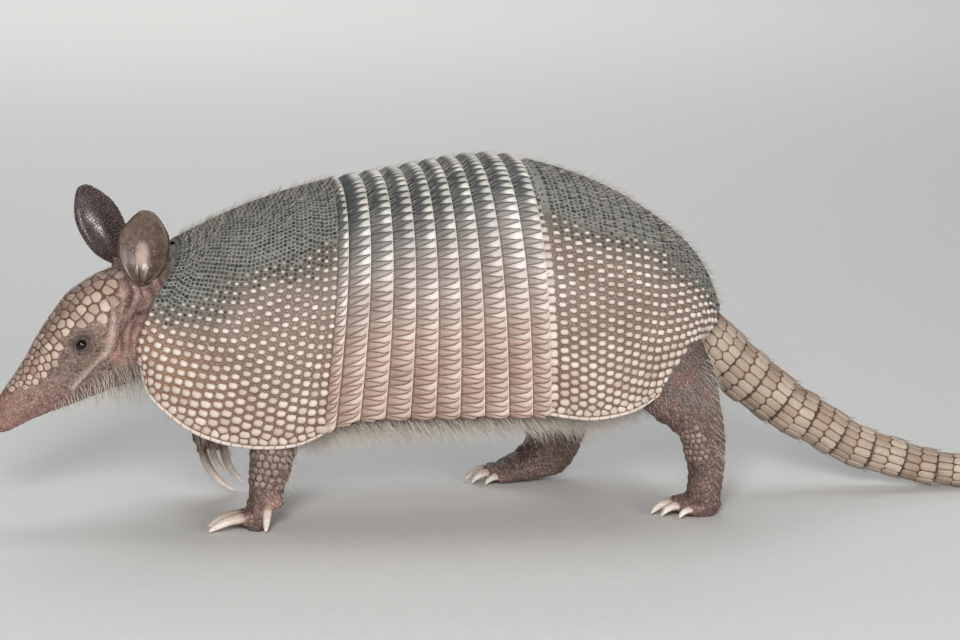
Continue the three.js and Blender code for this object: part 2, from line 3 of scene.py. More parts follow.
import bmesh
import bpy
import numpy as np
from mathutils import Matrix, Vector


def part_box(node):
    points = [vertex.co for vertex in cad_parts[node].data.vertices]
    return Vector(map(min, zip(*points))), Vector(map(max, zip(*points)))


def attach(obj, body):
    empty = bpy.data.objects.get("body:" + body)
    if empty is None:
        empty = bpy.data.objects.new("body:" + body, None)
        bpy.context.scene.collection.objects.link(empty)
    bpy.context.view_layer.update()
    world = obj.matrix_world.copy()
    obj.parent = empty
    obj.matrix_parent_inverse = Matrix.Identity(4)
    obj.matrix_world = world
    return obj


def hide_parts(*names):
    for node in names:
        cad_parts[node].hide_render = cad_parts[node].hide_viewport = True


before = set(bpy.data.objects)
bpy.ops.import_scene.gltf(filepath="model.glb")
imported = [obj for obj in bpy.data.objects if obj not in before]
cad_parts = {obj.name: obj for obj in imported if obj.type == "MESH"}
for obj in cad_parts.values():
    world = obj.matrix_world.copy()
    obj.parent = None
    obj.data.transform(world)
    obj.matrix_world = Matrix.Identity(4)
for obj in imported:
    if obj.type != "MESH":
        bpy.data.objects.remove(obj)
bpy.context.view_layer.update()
MM, METRE = 0.001, 1000

# ---- measures of the animal, in millimetres, as in the solids ------------------------------------
RIM_ANGLE = 115.0  # from the top of the back round to the shell's lower edge, in degrees
FLANK_ANGLE = 108.0  # where the trunk turns in to the belly
ROUNDNESS = 0.88  # below 1, outlines are fuller than an ellipse
SHELL_LENGTH = 330  # that goes with s, the place along the shell, from 0 to 1
SHELL_THICKNESS = 3.0
RIM_STRIP = 2.5  # the plain strip along the lower edge
FRONT_BOW = 6.8  # of the shoulders' front edge
TABLE_REACH = 1.03  # the tables of arcs go this far, with the rim at 1
BAND_COUNT = 9
BANDS_START, BANDS_END = 0.3, 0.625
LAST_BAND_SHARE = 0.8
HEAD_ORIGIN = np.array([-176.0, 0.0, 113.0])
HEAD_PITCH, HEAD_YAW = math.radians(34), math.radians(12)
EYE_RADIUS = 3.4
EYE_PLACE = (33.6, 14.7, 6.6)
HEAD_BACK = -14.0
PLATES_START, PLATES_END = -8, 78  # the head shield, along the head
TAIL_RINGS, RINGED_LENGTH, TAIL_LENGTH, TAIL_ROOT = 12, 236.0, 329.0, 12.0
TAIL_FLOOR, SKIN_FLOOR = 0.03, 0.02  # no vertex goes lower


def through(knots):
    """A smooth curve through knots of [t, values]."""
    k = np.array(knots, float)
    t, v = k[:, 0], k[:, 1:]
    last = len(t) - 1
    slope = np.array([(v[min(i + 1, last)] - v[max(i - 1, 0)]) / (t[min(i + 1, last)] - t[max(i - 1, 0)])
                      for i in range(last + 1)])

    def at(x):
        x = np.asarray(x, float)
        i = np.clip(np.searchsorted(t, x, side="left") - 1, 0, last - 1)
        span = (t[i + 1] - t[i])[..., None]
        u = np.clip((x - t[i])[..., None] / span, 0, 1)
        return (v[i] * (1 + 2 * u) * (1 - u) ** 2 + slope[i] * span * u * (1 - u) ** 2
                + v[i + 1] * u * u * (3 - 2 * u) + slope[i + 1] * span * u * u * (u - 1))
    return at


# the back, the rim and the belly are [s, x, z]
# the girth is [s, half width, share of the height where it is widest]
BACK = through([[0, -151, 151], [0.1, -121, 165], [0.2, -91, 175.5], [0.3, -61.2, 182.5], [0.41, -28, 187.5],
                [0.52, 3, 192.5], [0.58, 21, 193.8], [0.625, 38, 191.8], [0.72, 72, 181.5],
                [0.81, 101, 167.5], [0.9, 128, 147.5], [0.95, 141, 131], [1, 151, 108.5]])
RIM = through([[0, -175, 90], [0.04, -171, 75], [0.08, -161, 64], [0.12, -148, 54.5], [0.16, -131, 48],
               [0.205, -112, 45.5], [0.25, -93, 47], [0.3, -73, 55.5], [0.34, -59, 59.5], [0.46, -15, 60],
               [0.625, 43.5, 59], [0.7, 66, 56.2], [0.78, 86, 58], [0.84, 98, 62], [0.89, 111, 70],
               [0.94, 123, 79], [1, 136, 89]])
GIRTH = through([[0, 42, 0.4], [0.1, 53, 0.39], [0.2, 61, 0.37], [0.3, 66.5, 0.36], [0.45, 70, 0.36],
                 [0.6, 73, 0.37], [0.7, 72, 0.38], [0.8, 67, 0.4], [0.88, 60, 0.43], [0.94, 48, 0.47],
                 [1, 27, 0.5]])
BELLY = through([[0, -163, 76], [0.1, -138, 54], [0.2, -108, 46], [0.3, -70, 44], [0.45, -10, 45],
                 [0.625, 44, 47], [0.75, 78, 49], [0.85, 100, 57], [0.93, 118, 70], [1, 132, 82]])
# [along, top, bottom, half width, level of the widest place]
HEAD = through([[-14, 22, -31, 18, -4], [0, 26.5, -35, 21.5, -5], [8, 27.8, -34.5, 21.8, -6],
                [20, 28.3, -32, 20.8, -5.5], [34, 24.6, -27, 17.2, -2], [47, 20.2, -23.2, 13.8, -2],
                [60, 14.3, -19.2, 10.6, -2.5], [74, 9.6, -14.6, 8.6, -3], [84, 6.6, -12.4, 7.9, -3.5],
                [92, 4.5, -10.5, 7.3, -3.5], [96.5, 2.5, -8.5, 6, -3.5]])
# [along, degrees to each side]
SHIELD_REACH = through([[-8, 20], [-2, 42], [5, 57], [12, 65], [18, 67], [25, 61], [31, 55], [38, 53],
                        [43, 59], [48, 70], [54, 75], [61, 76], [68, 71], [74, 56], [78, 34]])
# [distance, x, y, z, radius]
TAIL = through([[-12, 135.5, 0, 98, 15.8], [0, 144, 0, 89.1, 16.3], [26, 163, 0, 71.1, 16.2],
                [46.4, 179, -0.5, 58.1, 15.4], [66.6, 195, -2, 45.9, 14.5], [83.8, 209.8, -4, 37.6, 13.5],
                [107, 229, -7, 25.6, 12.5], [131, 251.7, -10.5, 17.9, 11.4], [153.5, 272.6, -14, 12, 10.4],
                [187, 305, -21, 8.6, 8.8], [225.5, 342, -32, 6.8, 7], [265, 380, -43, 5, 5.2],
                [301, 415, -50, 3.2, 3.4], [329, 442, -52, 1.8, 1.9]])


# ---- small maths ---------------------------------------------------------------------------------
def unit(v):
    return v / np.maximum(np.linalg.norm(v, axis=-1, keepdims=True), 1e-12)


def smooth(lo, hi, x):
    u = np.clip((np.asarray(x, float) - lo) / (hi - lo), 0, 1)
    return u * u * (3 - 2 * u)


def mix(a, b, t):
    return a + (b - a) * t


def hashed(*parts):
    n = np.zeros(np.broadcast(*parts).shape)
    for k, p in zip((127.1, 311.7, 74.7, 269.5), parts):
        n = n + k * np.asarray(p, float)
    return np.modf(np.abs(np.sin(n) * 43758.5453))[0]


def noise3(p, scale, seed=0.0):
    """Smooth value noise of points, from -1 to 1."""
    q = np.asarray(p, float) / scale + seed
    c = np.floor(q)
    f = q - c
    f = f * f * (3 - 2 * f)
    total = 0.0
    for dx in (0, 1):
        for dy in (0, 1):
            for dz in (0, 1):
                w = ((f[..., 0] if dx else 1 - f[..., 0]) * (f[..., 1] if dy else 1 - f[..., 1])
                     * (f[..., 2] if dz else 1 - f[..., 2]))
                total = total + w * hashed(c[..., 0] + dx, c[..., 1] + dy, c[..., 2] + dz)
    return 2 * total - 1


def spow(v, p):
    return np.sign(v) * np.abs(v) ** p


def run_along(points):
    """The distance along a line of points, from 0."""
    return np.concatenate([[0], np.cumsum(np.linalg.norm(np.diff(points, axis=0), axis=1))])


def turns(n, start=0.0):
    """Angles of n even steps of a full turn."""
    return (np.arange(n) + start) * 2 * np.pi / n


# ---- the shell's surface -------------------------------------------------------------------------
def shell_surface(s, angle):
    s, angle = np.broadcast_arrays(np.asarray(s, float), np.asarray(angle, float))
    back, rim, girth = BACK(s), RIM(s), GIRTH(s)
    sine, cosine = np.sin(np.radians(angle)), np.cos(np.radians(angle))
    wide = girth[..., 1]
    share = np.where(cosine > 0, wide + (1 - wide) * np.maximum(cosine, 0) ** ROUNDNESS,
                     wide * (1 - cosine / math.cos(math.radians(RIM_ANGLE))))
    turn = np.abs(angle)
    bow = FRONT_BOW * smooth(0.13, 0, s) * smooth(30, 88, turn) * smooth(116, 98, turn)
    return np.stack([mix(rim[..., 0], back[..., 0], share) - bow, girth[..., 0] * spow(sine, ROUNDNESS),
                     mix(rim[..., 1], back[..., 1], share)], -1)


def shell_frame(s, angle):
    """Place, unit vectors along the body and round it, and the outward normal."""
    s, angle = np.broadcast_arrays(np.asarray(s, float), np.asarray(angle, float))
    s0, s1 = np.maximum(s - 0.006, 0), np.minimum(s + 0.006, 1)
    along = unit(shell_surface(s1, angle) - shell_surface(s0, angle))
    around = unit(shell_surface(s, angle + 2) - shell_surface(s, angle - 2))
    normal = unit(np.cross(along, around))
    return shell_surface(s, angle), along, around, normal


S_TABLE = np.linspace(0, 1, 101)
A_TABLE = np.linspace(-RIM_ANGLE - 4, RIM_ANGLE + 4, 477)
_places = shell_surface(S_TABLE[:, None], A_TABLE[None, :])
_steps = np.linalg.norm(np.diff(_places, axis=1), axis=2)
_lengths = np.concatenate([np.zeros((len(S_TABLE), 1)), np.cumsum(_steps, 1)], 1)
_lengths -= np.array([np.interp(0, A_TABLE, row) for row in _lengths])[:, None]
HALF = np.array([np.interp(RIM_ANGLE, A_TABLE, row) for row in _lengths])
F_TABLE = np.linspace(-TABLE_REACH, TABLE_REACH, 413)
_inverse = np.array([np.interp(F_TABLE * h, row, A_TABLE) for h, row in zip(HALF, _lengths)])


def half_length(s):
    return np.interp(s, S_TABLE, HALF)


def angle_at(s, arc):
    """The angle at a distance round the shell from the top of the back."""
    s, arc = np.broadcast_arrays(np.asarray(s, float), np.asarray(arc, float))
    f = np.clip(arc / half_length(s), -TABLE_REACH, TABLE_REACH)
    last_i, last_j = len(S_TABLE) - 1, len(F_TABLE) - 1
    i = np.clip(s * last_i, 0, last_i - 0.001)
    j = np.clip((f + TABLE_REACH) / (2 * TABLE_REACH) * last_j, 0, last_j - 0.001)
    i0, j0 = i.astype(int), j.astype(int)
    u, v = i - i0, j - j0
    t = _inverse
    return ((1 - u) * ((1 - v) * t[i0, j0] + v * t[i0, j0 + 1])
            + u * ((1 - v) * t[i0 + 1, j0] + v * t[i0 + 1, j0 + 1]))


def dorsal(s, angle, place):
    """1 on the dark back, 0 on the pale flank."""
    edge = np.interp(s, [0, 0.1, 0.2, 0.3, 0.45, 0.625, 0.8, 0.9, 1], [84, 68, 60, 56, 57, 51, 54, 63, 78])
    wobble = 7 * noise3(place, 22, 3.3) + 3 * noise3(place, 7, 9.1)
    return 1 - smooth(-22, 17, np.abs(angle) + wobble - edge)


# ---- gathering meshes ----------------------------------------------------------------------------
def head_to_body(p):
    """From the head's own frame (along, side, up) to the body's."""
    p = np.asarray(p, float)
    x, y, z = -p[..., 0], p[..., 1], p[..., 2]
    c, s = math.cos(-HEAD_PITCH), math.sin(-HEAD_PITCH)
    x, z = c * x + s * z, -s * x + c * z
    c, s = math.cos(HEAD_YAW), math.sin(HEAD_YAW)
    return np.stack([c * x - s * y, s * x + c * y, z], -1) + HEAD_ORIGIN


# the measures' own origin lies this far behind the frame's
_eye_box = np.array(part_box("eye_left"), float).reshape(2, 3)
SHIFT_X = head_to_body((EYE_PLACE[0], -EYE_PLACE[1], EYE_PLACE[2]))[0] - _eye_box.mean(0)[0] * METRE


def bare_mesh(name, verts, faces):
    """A mesh of points in millimetres and arrays of faces, and the vertices of its corners."""
    mesh = bpy.data.meshes.new(name)
    sizes = np.concatenate([np.full(len(f), f.shape[1], np.int32) for f in faces])
    corners = np.concatenate([f.ravel() for f in faces]).astype(np.int32)
    mesh.vertices.add(len(verts))
    move_points(mesh, verts)
    mesh.loops.add(len(corners))
    mesh.loops.foreach_set("vertex_index", corners)
    mesh.polygons.add(len(sizes))
    mesh.polygons.foreach_set("loop_start", np.concatenate([[0], np.cumsum(sizes)[:-1]]).astype(np.int32))
    return mesh, corners


def move_points(mesh, p):
    mesh.vertices.foreach_set("co", (p * MM).astype(np.float32).ravel())


def set_floats(mesh, name, values):
    mesh.attributes.new(name, "FLOAT", "POINT").data.foreach_set("value", values.astype(np.float32))


def placed(name, data):
    """A new object in the scene."""
    ob = bpy.data.objects.new(name, data)
    bpy.context.scene.collection.objects.link(ob)
    return ob


INNER_UV = (0.485, 0.5)  # where the hidden inner sides lie on a map: a thin strip


class Soup:
    """Vertices, faces and per-vertex numbers gathered from many parts into one mesh."""

    def __init__(self):
        self.verts, self.faces, self.attrs, self.uvs, self.mats, self.count = [], [], [], [], [], 0

    def add(self, verts, faces, uv=None, mat=0, **attrs):
        verts = np.asarray(verts, float).reshape(-1, 3)
        n = len(verts)
        for f in faces:
            if len(f):
                self.faces.append(np.asarray(f, np.int64) + self.count)
                self.mats.append(np.full(len(f), mat, np.int32))
        self.verts.append(verts)
        self.attrs.append((n, attrs))
        self.uvs.append(np.zeros((n, 2)) if uv is None else np.asarray(uv, float).reshape(-1, 2))
        self.count += n

    def build(self, name, materials, body_slot, replaces=(), with_uv=False):
        mesh, corners = bare_mesh(name, np.concatenate(self.verts) - [SHIFT_X, 0, 0], self.faces)
        mesh.polygons.foreach_set("material_index", np.concatenate(self.mats))
        mesh.polygons.foreach_set("use_smooth", np.ones(len(mesh.polygons), bool))
        for key in sorted({k for _, a in self.attrs for k in a}):
            set_floats(mesh, key, np.concatenate([np.broadcast_to(np.ravel(a.get(key, 0.0)), (n,))
                                                  for n, a in self.attrs]))
        if with_uv:
            layer = mesh.uv_layers.new(name="OFBake")
            layer.uv.foreach_set("vector", np.concatenate(self.uvs)[corners].astype(np.float32).ravel())
        for m in materials:
            mesh.materials.append(m)
        mesh.update(calc_edges=True)
        mesh.validate()
        ob = placed(name, mesh)
        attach(ob, "root")
        if replaces:
            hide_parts(*replaces)


def grid_faces(rows, cols, wrap=False, flip=False):
    i = np.arange(rows - 1)[:, None]
    j = np.arange(cols if wrap else cols - 1)[None, :]
    k = (j + 1) % cols
    q = np.stack([i * cols + j, i * cols + k, (i + 1) * cols + k, (i + 1) * cols + j], -1).reshape(-1, 4)
    return q[:, ::-1] if flip else q


def end_fans(rows, cols):
    """Triangles that close a tube's ends at two middle vertices, which come after its rings."""
    j = np.arange(cols)
    k = (j + 1) % cols
    last = (rows - 1) * cols
    return [np.stack([np.full(cols, rows * cols), k, j], 1),
            np.stack([np.full(cols, rows * cols + 1), last + j, last + k], 1)]


def closed_grid(soup, out, inner, uv=None, uv_in=None, outer_attrs=None, **attrs):
    """A plate between two grids of the same size, closed along its edges."""
    rows, cols = out.shape[:2]
    loop = np.concatenate([out, inner[:, ::-1]], 1)
    n = 2 * cols
    j = np.arange(cols - 1)
    caps = []
    for row, turn in ((0, 1), (rows - 1, -1)):
        q = np.stack([row * n + j, row * n + j + 1, row * n + n - 2 - j, row * n + n - 1 - j], 1)
        caps.append(q[:, ::turn])
    both = {k: np.concatenate([v, v[:, ::-1]], 1).ravel() for k, v in (outer_attrs or {}).items()}
    inside = np.concatenate([np.zeros((rows, cols)), np.ones((rows, cols))], 1).ravel()
    where = None
    if uv is not None:
        uv_in = uv[:, ::-1] if uv_in is None else uv_in
        where = np.concatenate([uv, np.broadcast_to(INNER_UV, uv.shape) + 0.003 * uv_in], 1).reshape(-1, 2)
    soup.add(loop.reshape(-1, 3), [grid_faces(rows, n, wrap=True, flip=True), *caps], uv=where, inside=inside,
             **both, **attrs)


def neighbours(points, others, k, skip_self=True):
    """Indices and distances of the k nearest others of each point."""
    index, dist = [], []
    for start in range(0, len(points), 400):
        block = points[start:start + 400]
        d = np.linalg.norm(block[:, None] - others[None], axis=2)
        if skip_self:
            rows = np.arange(len(block))
            d[rows, start + rows] = 1e9
        near = np.argpartition(d, k, axis=1)[:, :k]
        order = np.argsort(np.take_along_axis(d, near, 1), axis=1)
        near = np.take_along_axis(near, order, 1)
        index.append(near)
        dist.append(np.take_along_axis(d, near, 1))
    return np.concatenate(index), np.concatenate(dist)


def cells(points, normals, tangents, others, sides, gap, rmax, k=9, power=9.0, squeeze=1.0):
    """For each point, the reach of its cell towards the given number of directions."""
    near, _ = neighbours(points, others, k)
    side = np.cross(normals, tangents)
    delta = others[near] - points[:, None]
    x = (delta * tangents[:, None]).sum(2)
    y = (delta * side[:, None]).sum(2)
    d = np.maximum(np.hypot(x, y), 1e-6)
    towards = np.arctan2(y, x)
    phi = turns(sides)
    xs, ds = x * squeeze, np.maximum(np.hypot(x * squeeze, y), 1e-6)
    c = (squeeze * np.cos(phi) * xs[:, :, None] + np.sin(phi) * y[:, :, None]) / ds[:, :, None]
    load = (np.maximum(c, 0) / (ds[:, :, None] / 2)) ** power
    reach = load.sum(1) ** (-1 / power)
    return np.minimum(reach, np.reshape(rmax, (-1, 1))) - gap, phi, near, towards, d


def tiles(soup, points, normals, tangents, reach, phi, profile, scale, height, top, uv, skew=0.0,
          painted_shadow=False, **attrs):
    """Adds one raised scute per point. The profile is [(share of reach, height, pale)], rim to middle."""
    n, sides = reach.shape
    side = np.cross(normals, tangents)
    direction = tangents[:, None] * np.cos(phi)[None, :, None] + side[:, None] * np.sin(phi)[None, :, None]
    rings, pale = [], []
    for share, h, p in profile:
        r = reach * np.reshape(scale, (-1, 1)) * share
        lift = np.reshape(height, (-1, 1)) * h + skew * np.cos(phi)[None, :] * share
        rings.append(points[:, None] + direction * r[..., None] + normals[:, None] * lift[..., None])
        pale.append(np.full((n, sides), p))
    middle = points + normals * (np.reshape(height, -1) * top)[:, None]
    m = len(profile)
    verts = np.concatenate([np.stack(rings, 1).reshape(n, m * sides, 3), middle[:, None]], 1)
    per = m * sides + 1
    j = np.arange(sides)
    k = (j + 1) % sides
    quads = [np.stack([r * sides + j, r * sides + k, (r + 1) * sides + k, (r + 1) * sides + j], 1)
             for r in range(m - 1)]
    quads = np.concatenate(quads) if quads else np.zeros((0, 4), int)
    fan = np.stack([(m - 1) * sides + j, (m - 1) * sides + k, np.full(sides, m * sides)], 1)
    base = (np.arange(n) * per)[:, None, None]
    pales = np.concatenate([np.stack(pale, 1).reshape(n, -1), np.full((n, 1), p)], 1)
    full = {key: np.repeat(np.broadcast_to(value, (n,)), per) for key, value in attrs.items()}
    full["pale"] = full.get("pale", np.ones(n * per)) * pales.ravel()
    # painted shadow: the outer rings of each scute that face downwards get a below weight, which the shell
    # finish darkens as the scute's shadow
    if painted_shadow:
        under = np.clip(0.15 - direction[..., 2], 0, 1)
        under = np.concatenate([under * w for w in (1.0, 1.0, 0.12)] + [np.zeros((n, 1))], 1)
        full["below"] = under.ravel()
    ring = np.concatenate([np.tile(np.stack([np.cos(phi), np.sin(phi)], 1), (m, 1))
                           * np.repeat([q[0] for q in profile], sides)[:, None], [[0, 0]]])
    soup.add(verts.reshape(-1, 3), [(quads[None] + base).reshape(-1, 4), (fan[None] + base).reshape(-1, 3)],
             uv=(uv[:, None] + ring[None] * 0.0012).reshape(-1, 2), **full)


def between(points, normals, near, towards, d, limit):
    """The places midway between neighbouring points and in the middle of each three of them."""
    n, k = near.shape
    real = near < n
    me = np.repeat(np.arange(n), k)
    other = near.ravel()
    ok = (real & (d < limit)).ravel() & (me < other)
    mids = (points[me[ok]] + points[other[ok]]) / 2
    mid_normals = unit(normals[me[ok]] + normals[other[ok]])
    order = np.argsort(towards, axis=1)
    near_o, towards_o, d_o = (np.take_along_axis(v, order, 1) for v in (near, towards, d))
    near_n, towards_n, d_n = (np.roll(v, -1, axis=1) for v in (near_o, towards_o, d_o))
    turn = (towards_n - towards_o) % (2 * np.pi)
    ok = (near_o < n) & (near_n < n) & (d_o < limit) & (d_n < limit) & (turn < 1.75)
    rows = np.broadcast_to(np.arange(n)[:, None], near.shape)
    ok &= (rows < near_o) & (rows < near_n)
    a, b, c = rows[ok], near_o[ok], near_n[ok]
    thirds = (points[a] + points[b] + points[c]) / 3
    third_normals = unit(normals[a] + normals[b] + normals[c])
    middle = np.arange(len(mids) + len(thirds)) < len(mids)
    return np.concatenate([mids, thirds]), np.concatenate([mid_normals, third_normals]), middle


def shield(name, s0, s1, pitch, row_pitch, first_rows=(), rust=0.0, seed=1, sunk=0.0, margin=0.0):
    """A shield of the shell: a plate, a scute for each cell and grains between them."""
    rng = np.random.default_rng(seed)
    soup = Soup()

    def rusty(s, f, dors):
        return rust * smooth(0.2, 0.03, s - s0) * smooth(0.55, 0.85, np.abs(f)) * (1 - dors)

    def sinking(s):
        return sunk * smooth(11.0, 0.0, (s - s0) * SHELL_LENGTH)

    # the plate
    rows = int(round((s1 - s0) * SHELL_LENGTH / 1.8))
    near_rim = 1 - np.array([0, 0.35, 0.7, 1.1, 1.5, 1.8, 2.1, 2.5, 3.1]) / 140
    f = np.concatenate([-near_rim, np.linspace(-0.965, 0.965, 200), near_rim[::-1]])[None]
    s = np.linspace(s0, s1, rows)
    ss = np.repeat(s[:, None], f.size, 1)
    ang = angle_at(ss, f * half_length(ss))
    p, _, _, normal = shell_frame(ss, ang)
    from_rim = (1 - np.abs(f)) * half_length(ss)
    edge = np.minimum(np.minimum(from_rim, (ss - s0) * SHELL_LENGTH), (s1 - ss) * SHELL_LENGTH)
    bead = smooth(RIM_STRIP + 0.35, RIM_STRIP - 0.35, from_rim)
    lift = -0.25 + bead * (0.50 * smooth(0.0, 0.9, from_rim) + 0.10 * np.cos(2 * np.pi * (ss - s0) * 66))
    out = p + normal * (lift - sinking(ss) - 0.8 * (1 - smooth(0, 1.0, edge)))[..., None]
    out += normal * (0.10 * noise3(p, 1.7, seed))[..., None]
    inner = p - normal * (1.4 + sinking(ss) + (SHELL_THICKNESS - 1.4) * smooth(0, 7, edge))[..., None]
    dors = dorsal(ss, ang, p)
    u, v = np.broadcast_arrays(f * 0.5 + 0.5, (ss - s0) / (s1 - s0))
    rim_line = shell_surface(s, angle_at(s, half_length(s)))
    closed_grid(soup, out, inner, np.stack([0.01 + 0.46 * v, 0.01 + 0.98 * u], -1), np.stack([v, u], -1),
                dict(dors=dors, rust=rusty(ss, f, dors), flank=smooth(0.55, 0.95, np.abs(f)) + 0 * dors),
                rnd=0.5, along=np.repeat(run_along(rim_line), 2 * f.size), scute=1.0,
                strip=np.concatenate([bead, edge * 0], 1).ravel(),
                pale=np.concatenate([0.62 * bead, edge * 0], 1).ravel())

    # the places of the scutes: rows across the back, and a row that follows the rim on each side
    table = np.linspace(s0, s1, 300)
    run = run_along(shell_surface(table, 50.0))
    middle = run[-1] - sum(first_rows)
    count = int(round(middle / row_pitch))
    s_list, x = [], 0.0
    for w, nominal in [(w, w) for w in first_rows] + [(middle / count, row_pitch)] * count:
        s_list.append((np.interp(x + w / 2, run, table), nominal))
        x += w
    points_s, points_f, row_id, ghosts = [], [], [], []
    for r, (s_row, _) in enumerate(s_list):
        length = half_length(s_row)
        n = int(round(2 * length / pitch))
        k = np.arange(n) if r % 2 == 0 else np.arange(n - 1) + 0.5
        arc = -length + (k + 0.5) * (2 * length / n)
        arc = arc + rng.normal(0, 0.035 * pitch, len(arc)) * (np.abs(arc) < length - pitch)
        points_s.append(np.full(len(arc), s_row) + rng.normal(0, 0.03 * pitch / SHELL_LENGTH, len(arc)))
        points_f.append(arc)
        row_id.append(np.full(len(arc), r))
    sp, arcs, rows = (np.concatenate(v) for v in (points_s, points_f, row_id))
    keep = half_length(sp) - np.abs(arcs) > 0.82 * pitch + RIM_STRIP
    sp, arcs, rows = sp[keep], arcs[keep], rows[keep]
    table = np.linspace(s0, s1, 500)
    run = run_along(shell_surface(table, angle_at(table, half_length(table) - 0.40 * pitch - RIM_STRIP)))
    n = int(round(run[-1] / pitch))
    s_rim = np.interp((np.arange(n) + 0.5) / n * run[-1], run, table)
    half = half_length(s_rim)
    for sign in (-1, 1):
        sp = np.concatenate([sp, s_rim])
        arcs = np.concatenate([arcs, sign * (half - 0.40 * pitch - RIM_STRIP)])
        rows = np.concatenate([rows, np.full(n, -1)])
        ghosts.append(shell_surface(s_rim, angle_at(s_rim, sign * (half + 0.38 * pitch - RIM_STRIP))))
    ang = angle_at(sp, arcs)
    p, along, _, normal = shell_frame(sp, ang)
    for end, sign in ((0, -1), (len(s_list) - 1, 1)):
        at = rows == end
        ghosts.append(p[at] + along[at] * sign * s_list[end][1] * 0.98)

    # the scutes: small and round on the dark back, wide and flat on the pale flank, square along the edges
    dors = dorsal(sp, ang, p)
    reach, phi, near, towards, d = cells(p, normal, along, np.concatenate([p, *ghosts]), 12, 0.0,
                                         pitch * 0.95)
    nominal = np.where(rows < 0, row_pitch, np.array([w for _, w in s_list])[rows])
    half = half_length(sp)
    p = p - normal * sinking(sp)[:, None]
    big = smooth(0.55, 0.95, np.abs(arcs) / half)
    rim = smooth(1.6 * pitch, 0.8 * pitch, half - np.abs(arcs) - RIM_STRIP)
    edgeward = np.maximum(rim, (nominal > row_pitch * 1.1) * 1.0)
    scale = mix(mix(0.72, 0.93, big), 0.96, edgeward) * (1 + rng.normal(0, 0.03, len(p)))
    scale = mix(scale, 0.42, smooth(0.1, 0.6, dors))
    fringe = smooth(0.08, 0.02, sp - s0) * smooth(0.55, 0.8, dors) * (s0 < 0.1)
    scale = mix(scale, 0.50 + 0.12 * fringe, smooth(0.58, 0.8, dors))
    round_reach = np.minimum(reach, np.median(reach, axis=1)[:, None] * 1.10)
    reach = mix(round_reach, reach, np.maximum(0.8 * big, edgeward)[:, None])
    flat = mix(mix(0.76, 0.84, big), 0.94, edgeward)[:, None]
    reach = reach / np.sqrt(np.cos(phi) ** 2 + (np.sin(phi) / flat) ** 2)
    height = mix(1.0, 0.82, edgeward) * (1 + rng.normal(0, 0.12, len(p)))
    height = height * (1 - 0.65 * smooth(0.4, 1.0, dors))
    rnd = rng.random(len(p))
    rust_at = rusty(sp, arcs / half, dors)
    place = np.stack([0.52 + 0.46 * (sp - s0) / (s1 - s0), 0.02 + 0.96 * (arcs / half * 0.5 + 0.5)], 1)
    tiles(soup, p, normal, along, reach - 0.16, phi, [(1.0, -0.5, 0.1), (0.87, 0.3, 0.6), (0.58, 0.8, 1.0)],
          scale * 1.07, height, 1.04, place, skew=0.10, painted_shadow=True, dors=dors, rust=rust_at, rnd=rnd,
          scute=1.0, flank=big)

    # the grains between them, larger on the back
    near = np.where(near < len(p), near, len(p))
    grains, grain_normals, middle = between(p, normal, near, towards, d, pitch * 1.45)
    tangent = unit(np.cross(grain_normals, np.cross([1.0, 0.1, 0.3], grain_normals)))
    g = len(grains)
    of = neighbours(grains, p, 1, skip_self=False)[0][:, 0]
    place = place[of] + (rng.random((g, 2)) - 0.5) * 0.01
    size = pitch * 0.125 * (1 + rng.normal(0, 0.15, g)) * (1 - 0.45 * big[of])
    back = smooth(0.06, 0.6, dors[of])
    size = mix(size, pitch * np.where(middle, 0.205, 0.06) * (1 + rng.normal(0, 0.12, g)), back)
    tiles(soup, grains - grain_normals * 0.12, grain_normals, tangent, np.repeat(size[:, None], 6, 1),
          turns(6), [(1.0, -0.35, 0.35)], 1.0, 0.46, 1.0, place, lift=back, dors=dors[of], rust=rust_at[of],
          rnd=rng.random(g), scute=0.35, flank=big[of])
    if margin:
        wedge_strip(soup, s1 - 0.002, s1 + margin, 5.3, seed, 0.5, 0.0, margin_uv=(0.984, 0.998), drop=0.6)
    soup.build(name, [MATERIALS["shell"]], "shell", [name], with_uv=True)


